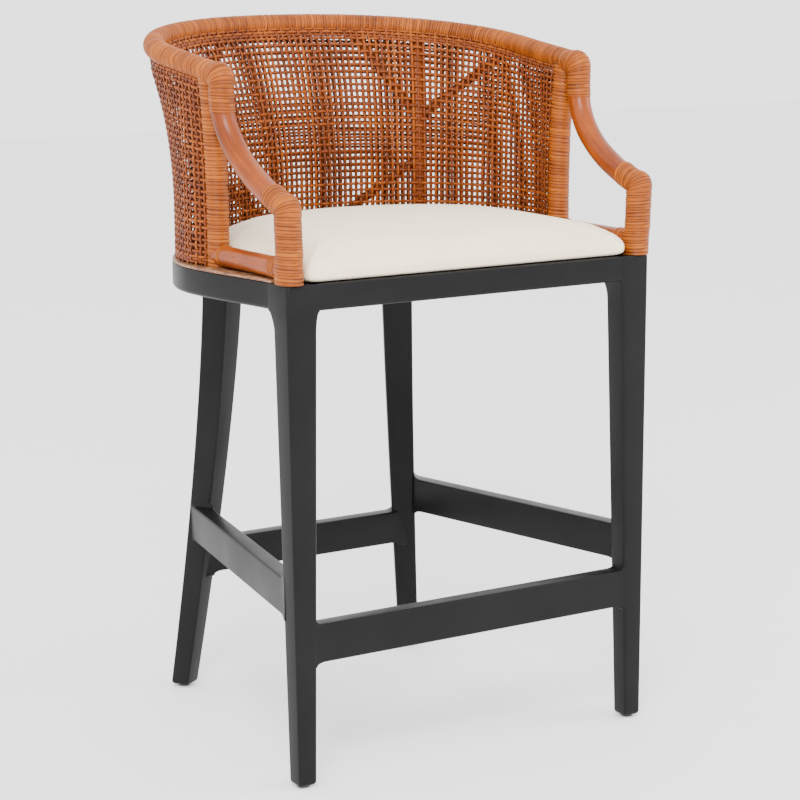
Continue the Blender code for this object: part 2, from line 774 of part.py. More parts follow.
# ---------------------------------------------------------------- rattan frame
def outward_in_plan(path):
    """Horizontal direction out of the barrel at each point of a path that runs round it."""
    found = []
    for along in tangents(path):
        flat = Vector((along.y, -along.x, 0.0))
        found.append(flat.normalized())
    return found


def rim_path():
    """The rim pole: up from the right arm, round the back and down to the left arm."""
    plan = horseshoe(RIM_PLAN, ELBOW_Y + ELBOW_BEND, 45)
    elbow_x = plan[0].x
    right = [Vector((elbow_x, ELBOW_Y, ARM_TOP_Z))]
    for step in range(4):
        angle = math.pi / 2 * step / 4
        y = ELBOW_Y + ELBOW_BEND * (1 - math.cos(angle))
        z = ELBOW_HEIGHT - ELBOW_BEND * (1 - math.sin(angle))
        right.append(Vector((elbow_x, y, z)))
    middle = [Vector((point.x, point.y, rim_height(point.y))) for point in plan]
    path = right + middle + mirrored(reversed(right))
    outward = outward_in_plan(path)
    for step in range(len(right)):
        outward[step] = Vector((1.0, 0.0, 0.0))
        outward[-1 - step] = Vector((-1.0, 0.0, 0.0))
    return path, outward


def arm_path(side, count=15):
    """From under the elbow, down and forward in an easy curve to the front post."""
    top = Vector((RIM_PLAN["side_half"] - 0.0012, ELBOW_Y, ARM_TOP_Z - FIT_GAP))
    bend = top - UP * 0.006
    end = Vector((FRONT_POST_X + 0.001, FRONT_POST_Y, ARM_END_Z))
    path = [top] + bezier(
        bend,
        bend + Vector((-0.002, -0.0015, -0.050)),
        end + Vector((0.002, 0.0935, 0.0305)),
        end,
        count,
    )
    return path if side > 0 else mirrored(path)


def front_post_path(side):
    low = Vector((side * FRONT_POST_X, FRONT_POST_Y, SEAT_FRAME_TOP + FIT_GAP))
    high = Vector((low.x, low.y, FRONT_POST_TOP))
    return low, high


def end_post_path(side):
    column = 0.0 if side > 0 else 1.0
    foot = barrel_point(column, rise_at_height(column, TRIM_TOP + FIT_GAP))
    path = [foot]
    for step in range(1, 9):
        path.append(barrel_point(column, END_POST_RISE * step / 8))
    return path


def rib_path(side):
    column = RIB_COLUMN if side > 0 else 1 - RIB_COLUMN
    return [barrel_point(column, step / 8) for step in range(9)]


def brace_path(side, brace):
    rib_rise, far_column, far_rise = brace
    path = []
    for step in range(9):
        share = step / 8
        column = blend(RIB_COLUMN, far_column, share)
        if side < 0:
            column = 1 - column
        path.append(barrel_point(column, blend(rib_rise, far_rise, share)))
    return path


def hoop_path():
    return [barrel_point(step / 36, 0.0) for step in range(37)]


def make_rim():
    path, outward = rim_path()
    pole("rim_pole", path, outward, RIM_RADIUS, "cane_binding")
    return pole("rim_space", path, outward, RIM_RADIUS + FIT_GAP, None)


def make_arm(side):
    """Arm pole, its elbow binding, front post, lower rail and the lower rail's binding."""
    name = side_name(side)
    x_way = Vector((float(side), 0.0, 0.0))
    low, high = front_post_path(side)
    rise = high.z - low.z
    knuckle = ((0.012, 1.0), (0.006, 0.90), (0.002, 0.66), (0.0, 0.35))    # depth below the top, share
    levels = [(0.0, 1.0)] + [(rise - depth, share) for depth, share in knuckle]
    post_line = [low + UP * z for z, _ in levels]
    radii = [FRONT_POST_RADIUS * share for _, share in levels]
    loft(f"{name}_front_post", circle_rings(post_line, x_way, radii, 16), "cane_binding")
    post_space = pole(
        f"{name}_front_post_space",
        [low - UP * 0.02, high + UP * 0.03],
        x_way,
        FRONT_POST_RADIUS + FIT_GAP,
        None,
        16,
    )
    end_line = end_post_path(side)
    end_post_space = pole(
        f"{name}_end_post_space", end_line, x_way, END_POST_RADIUS + FIT_GAP, None
    )
    path = arm_path(side)
    arm = pole(f"{name}_arm_pole", path, x_way, ARM_RADIUS, "polished_rattan")
    cut(arm, [post_space])
    bound = [
        point
        for point in arm_path(side, 60)[::3]
        if ELBOW_BINDING_BOTTOM < point.z < ARM_TOP_Z - 0.0015
    ]
    inner = ARM_RADIUS + FIT_GAP
    sleeve(
        f"{name}_elbow_binding", bound, x_way, inner, inner + BINDING_THICKNESS, "cane_binding"
    )
    start = Vector((side * FRONT_POST_X, FRONT_POST_Y, LOWER_RAIL_Z))
    end = Vector((end_line[0].x, END_POST_Y, LOWER_RAIL_Z))
    rail = pole(f"{name}_lower_rail", [start, end], x_way, LOWER_RAIL_RADIUS, "polished_rattan")
    cut(rail, [post_space, end_post_space])
    along = (end - start).normalized()
    near = start + along * (FRONT_POST_RADIUS + 0.0035)
    inner = LOWER_RAIL_RADIUS + FIT_GAP
    sleeve(
        f"{name}_lower_rail_binding",
        [near, near + along * 0.014],
        x_way,
        inner,
        inner + BINDING_THICKNESS * 0.7,
        "cane_binding",
    )
    return end_post_space


def make_barrel_frame(rim_space, end_post_spaces):
    """Base hoop, end posts, ribs and braces between the two cane panels."""
    hoop = hoop_path()
    outward = outward_in_plan(hoop)
    cut(pole("base_hoop", hoop, outward, HOOP_RADIUS, "polished_rattan", 10), end_post_spaces)
    hoop_space = pole("hoop_space", hoop, outward, HOOP_RADIUS + FIT_GAP, None, 10)
    for side in (-1, 1):
        name = side_name(side)
        x_way = Vector((float(side), 0.0, 0.0))
        post = pole(f"{name}_end_post", end_post_path(side), x_way, END_POST_RADIUS, "cane_binding")
        cut(post, [rim_space])
        line = rib_path(side)
        rib_out = barrel_normal(RIB_COLUMN if side > 0 else 1 - RIB_COLUMN, 0.5)
        rib = pole(f"{name}_rib", line, rib_out, RIB_RADIUS, "polished_rattan", 10)
        cut(rib, [rim_space, hoop_space])
        rib_space = pole(f"{name}_rib_space", line, rib_out, RIB_RADIUS + FIT_GAP, None, 10)
        for brace_name, brace in BRACES.items():
            far_space = rim_space if brace[2] > 0.5 else hoop_space
            path = brace_path(side, brace)
            piece = pole(f"{name}_{brace_name}", path, rib_out, BRACE_RADIUS, "polished_rattan", 8)
            cut(piece, [rib_space, far_space])


def make_cane_panel(name, offset):
    """A thin curved panel between the end posts, from the trim up to the rim."""
    columns, rows = 36, 6
    post_clearance = 0.0095
    bottom_z = TRIM_TOP + 0.0008
    top_rise = 0.966
    sheets = []
    for face in (offset + CANE_THICKNESS / 2, offset - CANE_THICKNESS / 2):
        sheet = []
        for column_step in range(columns + 1):
            column = blend(post_clearance, 1 - post_clearance, column_step / columns)
            low = rise_at_height(column, bottom_z)
            for row in range(rows + 1):
                rise = blend(low, top_rise, row / rows)
                sheet.append(barrel_point(column, rise, face))
        sheets.append(sheet)
    size = len(sheets[0])
    stride = rows + 1
    faces = []
    for column_step in range(columns):
        for row in range(rows):
            corner = column_step * stride + row
            quad = (corner, corner + stride, corner + stride + 1, corner + 1)
            faces.append(quad)
            faces.append(tuple(size + point for point in reversed(quad)))
    border = [step * stride for step in range(columns + 1)]
    border += [columns * stride + row for row in range(1, rows + 1)]
    border += [step * stride + rows for step in reversed(range(columns))]
    border += list(reversed(range(1, rows)))
    for here, there in zip(border, border[1:] + border[:1]):
        faces.append((there, here, size + here, size + there))
    make_piece(name, sheets[0] + sheets[1], faces, "cane_weave")


def make_trim():
    section = [
        (TRIM_INSET, TRIM_BOTTOM),
        (TRIM_INSET, TRIM_TOP),
        (TRIM_WIDTH, TRIM_TOP),
        (TRIM_WIDTH, TRIM_BOTTOM),
    ]
    frame_sweep("edge_trim", 2, FRAME_SAMPLES - 2, section, "trim_wood")


# ---------------------------------------------------------------- the stool
def make_stool():
    clear_scene()
    make_carrier()
    make_rails()
    for side in (-1, 1):
        make_front_leg(side)
        make_rear_leg(side)
        make_glide(side, "front", front_leg_box(side, LEG_BOTTOM)[0])
        make_glide(side, "rear", rear_leg_box(side, LEG_BOTTOM)[0])
        make_side_stretcher(side)
    make_footrest()
    make_back_stretcher()
    make_seat_support()
    make_cushion()
    make_trim()
    rim_space = make_rim()
    end_post_spaces = [make_arm(side) for side in (-1, 1)]
    make_barrel_frame(rim_space, end_post_spaces)
    make_cane_panel("outer_cane_panel", CANE_OFFSET)
    make_cane_panel("inner_cane_panel", -CANE_OFFSET)


make_stool()
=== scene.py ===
"""Looks of the counter-height bar stool: painted base, wrapped rattan frame, woven cane and a cushion.

Everything is in metres. Shapes are worked out with Y measured from the front face of the
front legs, and make_mesh moves them into the frame, where that face is at FRONT_Y.
"""

import math

import bpy
import numpy as np
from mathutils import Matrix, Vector


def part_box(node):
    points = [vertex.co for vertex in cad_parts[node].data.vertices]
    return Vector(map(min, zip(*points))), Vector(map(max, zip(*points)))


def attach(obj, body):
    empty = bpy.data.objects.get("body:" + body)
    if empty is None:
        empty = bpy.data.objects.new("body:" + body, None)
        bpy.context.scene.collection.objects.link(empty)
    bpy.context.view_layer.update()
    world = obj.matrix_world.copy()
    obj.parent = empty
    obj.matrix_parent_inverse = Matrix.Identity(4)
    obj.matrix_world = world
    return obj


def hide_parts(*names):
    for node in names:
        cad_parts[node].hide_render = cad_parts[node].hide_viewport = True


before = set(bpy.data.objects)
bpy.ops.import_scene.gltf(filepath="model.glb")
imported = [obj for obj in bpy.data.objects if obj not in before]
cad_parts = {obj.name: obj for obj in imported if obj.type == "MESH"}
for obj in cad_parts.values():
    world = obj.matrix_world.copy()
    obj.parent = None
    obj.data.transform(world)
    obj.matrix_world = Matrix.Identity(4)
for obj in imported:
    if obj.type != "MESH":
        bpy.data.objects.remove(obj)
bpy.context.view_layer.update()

# ------------ sizes read from the frame
FRONT_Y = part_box("front_rail")[0].y
FRAME_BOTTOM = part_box("front_rail")[0].z
FRAME_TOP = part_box("front_rail")[1].z
HALF_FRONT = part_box("front_right_leg")[1].x
FRONT_HEAD = HALF_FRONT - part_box("front_right_leg")[0].x
LEG_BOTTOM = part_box("front_right_leg")[0].z
TRIM_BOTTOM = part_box("edge_trim")[0].z
TRIM_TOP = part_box("edge_trim")[1].z
HOOP_Z = (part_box("base_hoop")[0].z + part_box("base_hoop")[1].z) / 2
RAIL_Z = (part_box("right_lower_rail")[0].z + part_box("right_lower_rail")[1].z) / 2

# ------------ the base, as the frame has it
FRAME_SIDE_HALF = 0.2845
FRAME_WIDEST_Y = 0.210
FRAME_BACK_Y = 0.4545
FRAME_BACK_POWER = 1.8
RAIL_WIDTH = 0.044
FRONT_RAIL_THICKNESS = 0.030
FRAME_STEPS = 240
RAIL_JOINT_STEP = 80
RAIL_EDGE = 0.005
FRONT_RAIL_EDGE = 0.004
RAIL_TOP_EDGE = 0.002
TRIM_START_Y = 0.031
TRIM_MIDDLE = 0.0155           # in from the frame's outer edge
TRIM_HALF_WIDTH = 0.015
TRIM_EDGE = 0.0012

FRONT_TOP_SIZE = np.array([0.0400, 0.0360])
FRONT_FOOT_SIZE = np.array([0.0240, 0.0250])
FRONT_FOOT_SHIFT = (-0.0060, -0.0045)
REAR_TOP_CENTRE = np.array([0.1352, 0.3960])
REAR_FOOT_CENTRE = np.array([0.1817, 0.4410])
REAR_TOP_SIZE = np.array([0.0425, 0.0385])
REAR_FOOT_SIZE = np.array([0.0275, 0.0265])
REAR_FACING = math.radians(60)
REAR_SPLAY_POWER = 1.4
LEG_CORNER_RADIUS = 0.0040
FLARE_HEIGHT = 0.026
FOOT_ROUNDING = 0.0045
FOOT_CORNER_SHARE = 0.8       # a leg's corners are this much sharper at its foot
HEAD_TRIM = 0.0015            # the front heads draw in this much at their top edge
GLIDE_PROFILE = ((0.0055, 0.0), (0.0072, 0.0004), (0.0080, 0.0014))
HEAD_LAP = 0.010              # the rails run this far into the leg heads
FACE_STEP = 0.00015           # and stand this much behind their faces

STRETCHER_THICKNESS = 0.023
FOOTREST_Z = (0.1530, 0.2005)
SIDE_STRETCHER_Z = (0.2090, 0.2550)
BACK_STRETCHER_Z = (0.1610, 0.2060)
BACK_STRETCHER_Y = 0.4215
STRETCHER_FLARE = 0.006
STRETCHER_FLARE_LENGTH = 0.014
STRETCHER_EDGE = 0.0028
STRETCHER_LAP = 0.005         # its ends run this far into the front legs
SIDE_REAR_LAP = 0.0015        # and this far where it only laps a rear leg's corner
FOOTREST_SETBACK = 0.0004
SIDE_SETBACK = 0.0005         # from a front leg's outer face
SIDE_REAR_CORNER = 0.002      # from a rear leg's outer corner
SIDE_REAR_RISE = 0.004        # its rear end is placed at this height above its top
BACK_LAP = 0.0105
BACK_CONTACT = 0.0135         # from a rear leg's middle to where the back one meets it

# ------------ the rattan work
BASE_PLAN = {"side_half": 0.262, "side_y": 0.210, "back_y": 0.420, "taper": 0.268, "power": 2.0}
RIM_PLAN = {"side_half": 0.264, "side_y": 0.280, "back_y": 0.4705, "taper": 0.010, "power": 2.22}
RIM_RISE_POWER = 1.1
BACK_HEIGHT = 0.888
ELBOW_HEIGHT = 0.842
ELBOW_Y = 0.1515
ELBOW_BEND = 0.018
LEAN_START = 0.2
LEAN_POWER = 2.0
RIM_RADIUS = 0.0135
ARM_RADIUS = 0.0143
LOWER_RAIL_RADIUS = 0.0125
FRONT_POST_RADIUS = 0.0162
END_POST_RADIUS = 0.0137
RIB_RADIUS = 0.0115
BRACE_RADIUS = 0.0065
HOOP_RADIUS = 0.0105
FRONT_POST_X = 0.2515
FRONT_POST_Y = 0.0115
END_POST_Y = 0.182
ARM_TOP_Z = ELBOW_HEIGHT - ELBOW_BEND - 0.004
ARM_END_Z = 0.6945
KNUCKLE_X = FRONT_POST_X + 0.0030      # the posts lean out a little
RIB_COLUMN = 0.29
ARM_END_RUN = (0.0935, 0.0305)          # back and up, the arm's way out of the front post
ELBOW_WRAP_BOTTOM = 0.798
KNUCKLE_FOOT = 0.0034                   # the post's wraps thicken backward over the rail
BRACES = {                    # rise on the rib, column and rise of the far end
    "upper_inner_brace": (0.53, 0.40, 1.0),
    "upper_outer_brace": (0.53, 0.12, 1.0),
    "lower_inner_brace": (0.33, 0.44, 0.0),
}

CANE_OFFSET = 0.0130          # middle of a cane panel, out from the poles' middle
WEAVE_COLUMNS = 103           # upright strands in one panel
WEAVE_ROWS = 32               # level strands in one panel
UPRIGHT_SIZE = (0.0041, 0.0018)
LEVEL_SIZE = (0.0038, 0.0018)
LAYER_DROP = 0.0026           # the outer panel's level strands sit this much lower
WEAVE_SWING = 0.00085         # how far a strand leaves the panel's middle as it passes others
WEAVE_TOP = 0.975             # rise where the strands run into the wrapped rim
RIM_PITCH = 0.0037
POST_PITCH = 0.0043
KNUCKLE_PITCH = 0.0038
ELBOW_PITCH = 0.0042
RAIL_RINGS_PITCH = 0.0034
WRAP_DEPTH = 0.0010           # wraps stand this much over a polished pole
WRAP_STEPS = 8                # rings of points in one turn
WRAP_SIDES = 28
WRAP_SMOOTH_ANGLE = 80
STRIP_RELIEF = 0.00085
CORNER_PEAK = 0.17            # how far the wraps stand out over a sharp corner
STRAND_SIDES = 6
STRAND_STEPS = 4              # rings of points from one crossing to the next
WEAVE_EDGE = 0.0115           # first upright strand's place round the barrel
RIM_TUCK = 0.0042             # how far a panel draws in towards the rim
POST_TUCK = 0.0022            # and towards the end posts

# ------------ the cushion
CUSHION_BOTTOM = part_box("seat_cushion")[0].z
CUSHION_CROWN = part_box("seat_cushion")[1].z
CUSHION_FRONT_Y = 0.0005
CUSHION_FRONT_HALF = 0.2350
CUSHION_SIDE_HALF = 0.2420
CUSHION_SIDE_Y = 0.215
CUSHION_BACK_Y = 0.401
CUSHION_CORNER = 0.009
CUSHION_SWELL = 0.0035        # most that the cover moves under pressure
CUSHION_LEVELS = (            # inset of the outline, share of the height
    (0.010, 0.00), (0.004, 0.05), (0.001, 0.14), (0.000, 0.28), (0.003, 0.42),
    (0.010, 0.56), (0.022, 0.68), (0.040, 0.78), (0.066, 0.86), (0.100, 0.92), (0.150, 0.96),
)
CUSHION_VOXEL = 0.0045
CUSHION_HELD = 0.006          # the underside is held still up to this height
CLOTH_FRAMES = 20

# ------------ the picture
CAMERA_PLACE = (-1.5856, -2.5691, 0.9908)
CAMERA_TURN = (79.096, 0.209, -32.390)
CAMERA_LENS = 105.966
WORLD_STRENGTH = 2.5
LIGHT_TARGET = (0.0, 0.0, 0.5)
FLOOR_REACH = 9.0

X_WAY = np.array([1.0, 0.0])  # in plan
Y_WAY = np.array([0.0, 1.0])

RANDOM = np.random.default_rng(7)


# ------------ small maths
def blend(low, high, share):
    return low + (high - low) * share


def unit(vectors):
    length = np.linalg.norm(vectors, axis=-1, keepdims=True)
    return vectors / np.maximum(length, 1e-12)


def smooth_step(value):
    value = np.clip(value, 0.0, 1.0)
    return value * value * (3 - 2 * value)


def tangents(path):
    return unit(np.gradient(path, axis=-2))


def distances(path):
    steps = np.linalg.norm(np.diff(path, axis=0), axis=1)
    return np.concatenate([[0.0], np.cumsum(steps)])


def even_points(path, count):
    """The path resampled at even distances, both ends kept."""
    length = distances(path)
    wanted = np.linspace(0.0, length[-1], count)
    return np.stack([np.interp(wanted, length, path[:, axis]) for axis in range(path.shape[1])], -1)


def mirrored(points):
    return points * np.array([-1.0, 1.0, 1.0])


def bezier(start, start_handle, end_handle, end, count):
    t = np.linspace(0.0, 1.0, count)[:, None]
    u = 1 - t
    return start * u**3 + start_handle * 3 * u * u * t + end_handle * 3 * u * t * t + end * t**3


def side_name(side):
    return "right" if side > 0 else "left"


# ------------ curves of the stool
def round_back(half, side_y, back_y, power, steps=240):
    """From the right side round the back to the left one, as half a superellipse in plan."""
    angle = np.linspace(0.0, math.pi, steps + 1)
    across = np.sign(np.cos(angle)) * np.abs(np.cos(angle)) ** (2 / power)
    back = np.abs(np.sin(angle)) ** (2 / power)
    return np.stack([half * across, blend(side_y, back_y, back)], -1)


def horseshoe(plan, start_y, count):
    half, side_y = plan["side_half"], plan["side_y"]
    end_half = half - plan["taper"] * (side_y - start_y)
    back = round_back(half, side_y, plan["back_y"], plan["power"])
    return even_points(np.vstack([[end_half, start_y], back, [-end_half, start_y]]), count)


BARREL_SHARES = np.linspace(0.0, 1.0, 241)
BASE_LINE = horseshoe(BASE_PLAN, END_POST_Y, 241)
RIM_LINE = horseshoe(RIM_PLAN, END_POST_Y, 241)


def rim_height(y):
    share = np.clip((y - ELBOW_Y) / (RIM_PLAN["back_y"] - ELBOW_Y), 0.0, None)
    return blend(ELBOW_HEIGHT, BACK_HEIGHT, share**RIM_RISE_POWER)


def barrel_middle(column, rise):
    """The barrel's middle surface: column runs round it from the right, rise from hoop to rim."""
    column, rise = np.broadcast_arrays(np.clip(column, 0.0, 1.0), rise)
    lean = np.clip((rise - LEAN_START) / (1 - LEAN_START), 0.0, None) ** LEAN_POWER
    low = [np.interp(column, BARREL_SHARES, BASE_LINE[:, axis]) for axis in (0, 1)]
    high = [np.interp(column, BARREL_SHARES, RIM_LINE[:, axis]) for axis in (0, 1)]
    z = blend(HOOP_Z, rim_height(high[1]), rise)
    return np.stack([blend(low[0], high[0], lean), blend(low[1], high[1], lean), z], -1)


def barrel_normal(column, rise):
    step = 0.004
    round_way = barrel_middle(column + step, rise) - barrel_middle(column - step, rise)
    up_way = barrel_middle(column, rise + step) - barrel_middle(column, rise - step)
    return unit(np.cross(round_way, up_way))


def barrel_point(column, rise, offset=0.0):
    column, rise, offset = np.broadcast_arrays(np.asarray(column, float), rise, offset)
    return barrel_middle(column, rise) + barrel_normal(column, rise) * offset[..., None]


def rise_at_height(column, z):
    top = rim_height(np.interp(column, BARREL_SHARES, RIM_LINE[:, 1]))
    return (z - HOOP_Z) / (top - HOOP_Z)


def frame_side_half(y):
    swell = (1 - np.cos(math.pi * np.minimum(y / FRAME_WIDEST_Y, 1.0))) / 2
    return blend(HALF_FRONT, FRAME_SIDE_HALF, swell)


def frame_outline():
    """Even points round the seat frame's outer edge, from the right front corner to the left."""
    y = np.linspace(0.0, FRAME_WIDEST_Y, 60, endpoint=False)
    side = np.stack([frame_side_half(y), y], -1)
    back = round_back(FRAME_SIDE_HALF, FRAME_WIDEST_Y, FRAME_BACK_Y, FRAME_BACK_POWER)
    left = side[::-1] * np.array([-1.0, 1.0])
    return even_points(np.vstack([side, back, left]), FRAME_STEPS + 1)


# ------------ meshes
def make_mesh(name, points, faces, material, attributes=None, smooth_angle=50):
    """A mesh object in the frame, with float attributes on its points."""
    mesh = bpy.data.meshes.new(name)
    placed = np.asarray(points, float).reshape(-1, 3) + np.array([0.0, FRONT_Y, 0.0])
    mesh.from_pydata(placed.tolist(), [], faces)
    for key, values in (attributes or {}).items():
        layer = mesh.attributes.new(key, "FLOAT", "POINT")
        layer.data.foreach_set("value", np.asarray(values, np.float32).ravel())
    mesh.shade_smooth()
    mesh.set_sharp_from_angle(angle=math.radians(smooth_angle))
    mesh.materials.append(material)
    piece = bpy.data.objects.new(name, mesh)
    bpy.context.scene.collection.objects.link(piece)
    return piece


def finish_piece(piece, slot, *nodes):
    """Ties a piece to the frame: its body, and hides the nodes that it stands for; slot is not used.
    """
    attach(piece, "root")
    if nodes:
        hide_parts(*nodes)


def tube_faces(tubes, rings, sides):
    """Quads and end caps of several tubes whose points are stored ring after ring."""
    tube = np.arange(tubes)[:, None, None] * rings * sides
    ring = np.arange(rings - 1)[None, :, None] * sides
    corner = np.arange(sides)[None, None, :]
    near = tube + ring + corner
    following = tube + ring + (corner + 1) % sides
    quads = np.stack([near, following, following + sides, near + sides], -1)
    faces = quads.reshape(-1, 4).tolist()
    for start in range(0, tubes * rings * sides, rings * sides):
        last = start + (rings - 1) * sides
        faces.append(list(range(start + sides - 1, start - 1, -1)))
        faces.append(list(range(last, last + sides)))
    return faces


def loft(name, rings, material, attributes=None, smooth_angle=50):
    """Skin of a row of rings with the same number of points, closed at both ends."""
    rings = np.asarray(rings, float)
    faces = tube_faces(1, rings.shape[0], rings.shape[1])
    return make_mesh(name, rings, faces, material, attributes, smooth_angle)


def ring_axes(path, reference):
    """Directions across and over a path; reference is one direction or one for each point."""
    along = tangents(path)
    reference = np.broadcast_to(reference, path.shape)
    across = unit(reference - along * np.sum(reference * along, -1, keepdims=True))
    return across, np.cross(along, across)


def polished_pole(name, path, reference, radius, sides, node):
    """A round pole with a little swelling along it, as a peeled rattan cane has.

    radius is one value, or shares of the length and the radius at each of them.
    """
    length = distances(path)
    if isinstance(radius, tuple):
        radius = np.interp(length / length[-1], *radius)
    across, over = ring_axes(path, reference)
    swelling = 1 + 0.010 * np.sin(length * 46 + 1.0) + 0.006 * np.sin(length * 113)
    angle = np.linspace(0.0, 2 * math.pi, sides, endpoint=False)
    arm = across[:, None] * np.cos(angle)[:, None] + over[:, None] * np.sin(angle)[:, None]
    rings = path[:, None] + arm * (radius * swelling)[:, None, None]
    along = np.repeat(length, sides)
    ring_share = np.tile(np.abs(angle / math.pi - 1), len(path))
    attributes = {"along": along, "across": ring_share, "strand": np.full(len(along), 0.5)}
    finish_piece(loft(name, rings, POLISHED, attributes), "polished_rattan", node)


# ------------ materials
def new_material(name, colour, roughness, **settings):
    """A material whose shader has the given even values; returns it with its tree and shader."""
    material = bpy.data.materials.new(name)
    material.use_nodes = True
    tree = material.node_tree
    shader = tree.nodes["Principled BSDF"]
    shader.inputs["Base Color"].default_value = (*colour, 1.0)
    shader.inputs["Roughness"].default_value = roughness
    for key, value in settings.items():
        shader.inputs[key.replace("_", " ").title()].default_value = value
    return material, tree, shader


def feed(tree, value, socket):
    """Links an output to a socket, or gives the socket an even value."""
    if hasattr(value, "is_output"):
        tree.links.new(value, socket)
    else:
        socket.default_value = value


def add_node(tree, kind, **inputs):
    node = tree.nodes.new(kind)
    for key, value in inputs.items():
        feed(tree, value, node.inputs[key.replace("_", " ").title()])
    return node


def object_place(tree, scale=(1.0, 1.0, 1.0)):
    place = tree.nodes.new("ShaderNodeTexCoord").outputs["Object"]
    return add_node(tree, "ShaderNodeMapping", vector=place, scale=scale).outputs["Vector"]


def attribute(tree, name):
    node = tree.nodes.new("ShaderNodeAttribute")
    node.attribute_name = name
    return node.outputs["Fac"]


def strand_place(tree, *scales):
    """A texture place that follows a strand: along it, across it, and from strand to strand."""
    parts = {}
    for axis, name, scale in zip("xyz", ("along", "across", "strand"), scales):
        scaled = tree.nodes.new("ShaderNodeMath")
        scaled.operation = "MULTIPLY"
        scaled.inputs[1].default_value = scale
        tree.links.new(attribute(tree, name), scaled.inputs[0])
        parts[axis] = scaled.outputs[0]
    return add_node(tree, "ShaderNodeCombineXYZ", **parts).outputs["Vector"]


def noise(tree, place, scale, detail=3.0, roughness=0.55):
    settings = {"vector": place, "scale": scale, "detail": detail, "roughness": roughness}
    return add_node(tree, "ShaderNodeTexNoise", **settings).outputs["Fac"]


def ramp(tree, factor, stops):
    node = add_node(tree, "ShaderNodeValToRGB", fac=factor)
    elements = node.color_ramp.elements
    while len(elements) < len(stops):
        elements.new(0.5)
    for element, (position, colour) in zip(elements, stops):
        element.position = position
        element.color = (*colour, 1.0)
    return node.outputs["Color"]


def mix(tree, first, second, factor, kind="MIX"):
    node = tree.nodes.new("ShaderNodeMix")
    node.data_type = "RGBA"
    node.blend_type = kind
    for value, index in ((factor, 0), (first, 6), (second, 7)):
        feed(tree, value, node.inputs[index])
    return node.outputs[2]


def spread(tree, factor, low, high):
    """Maps the middle of a noise's range to low..high."""
    settings = {"value": factor, "from_min": 0.3, "from_max": 0.7, "to_min": low, "to_max": high}
    return add_node(tree, "ShaderNodeMapRange", **settings).outputs["Result"]


def add_bump(tree, shader, height, strength, distance):
    bump = add_node(tree, "ShaderNodeBump", strength=strength, distance=distance, height=height)
    tree.links.new(bump.outputs["Normal"], shader.inputs["Normal"])


def drive(tree, shader, colour, roughness):
    tree.links.new(colour, shader.inputs["Base Color"])
    tree.links.new(roughness, shader.inputs["Roughness"])


EDGE_SHADE = (0.30, 0.20, 0.14)      # painted shade: darker along the edges of the strips and strands and in the grooves between turns


def paint_material():
    """Satin charcoal paint with brush marks and a trace of open grain."""
    material, tree, shader = new_material("painted_wood", (0.008, 0.008, 0.009), 0.4)
    marks = noise(tree, object_place(tree, (60.0, 60.0, 6.0)), 4.0)
    cloud = noise(tree, object_place(tree), 9.0, 4.0)
    tone = ramp(tree, cloud, ((0.3, (0.0042, 0.0040, 0.0045)), (0.7, (0.0072, 0.0068, 0.0076))))
    drive(tree, shader, tone, spread(tree, cloud, 0.34, 0.46))
    shader.inputs["Specular IOR Level"].default_value = 0.12
    add_bump(tree, shader, marks, 0.12, 0.0006)
    return material


def cane_material(name, stops, streak_scale):
    """Stained cane: tone from strand to strand, darker and lighter streaks along each strand, and
    painted shade darkening the edges of each strip and strand.
    """
    material, tree, shader = new_material(name, stops[1][1], 0.36)
    patches = noise(tree, object_place(tree), 26.0)
    streaks = noise(tree, strand_place(tree, streak_scale, 3.0, 37.0), 1.0, 4.0, 0.6)
    tone = mix(tree, attribute(tree, "strand"), streaks, 0.60)
    tone = mix(tree, tone, patches, 0.35)
    # painted shade: each strip and strand is darkened towards its edges, where it turns away from the
    # light
    edge_shade = ramp(tree, attribute(tree, "across"), ((0.55, (1.0, 1.0, 1.0)), (0.97, EDGE_SHADE)))
    colour = mix(tree, ramp(tree, tone, stops), edge_shade, 1.0, "MULTIPLY")
    drive(tree, shader, colour, spread(tree, streaks, 0.36, 0.55))
    shader.inputs["Specular IOR Level"].default_value = 0.20
    fibres = noise(tree, strand_place(tree, streak_scale * 0.8, 16.0, 91.0), 1.0, 2.0)
    add_bump(tree, shader, fibres, 0.25, 0.0004)
    return material


def rattan_material():
    """Stained and lacquered pole, with long soft streaks of grain."""
    stops = (
        (0.30, (0.090, 0.0120, 0.0006)),
        (0.52, (0.215, 0.0380, 0.0012)),
        (0.75, (0.350, 0.0780, 0.0025)),
    )
    material, tree, shader = new_material(
        "polished_rattan", stops[1][1], 0.3, coat_weight=0.07, coat_roughness=0.22
    )
    shader.inputs["Specular IOR Level"].default_value = 0.22
    grain = noise(tree, strand_place(tree, 16.0, 9.0, 1.0), 1.0, 5.0, 0.6)
    cloud = noise(tree, object_place(tree), 13.0)
    tone = mix(tree, grain, cloud, 0.5)
    drive(tree, shader, ramp(tree, tone, stops), spread(tree, grain, 0.26, 0.40))
    add_bump(tree, shader, grain, 0.10, 0.0004)
    return material


def grain_material(base, stretch, grain, stops, wear, relief, **settings):
    """A material whose tone, roughness and relief all follow one stretched noise."""
    material, tree, shader = new_material(*base, **settings)
    pattern = noise(tree, object_place(tree, stretch), *grain)
    drive(tree, shader, ramp(tree, pattern, stops), spread(tree, pattern, *wear))
    add_bump(tree, shader, pattern, *relief)
    return material


def trim_material():
    """Pale coated strip with brown mottling."""
    base = ("trim_wood", (0.55, 0.34, 0.19), 0.45)
    stops = ((0.32, (0.06, 0.016, 0.005)), (0.48, (0.16, 0.062, 0.024)), (0.66, (0.34, 0.165, 0.074)))
    grain = (1.0, 5.0, 0.65)
    return grain_material(base, (90.0, 90.0, 500.0), grain, stops, (0.38, 0.55), (0.15, 0.0004))


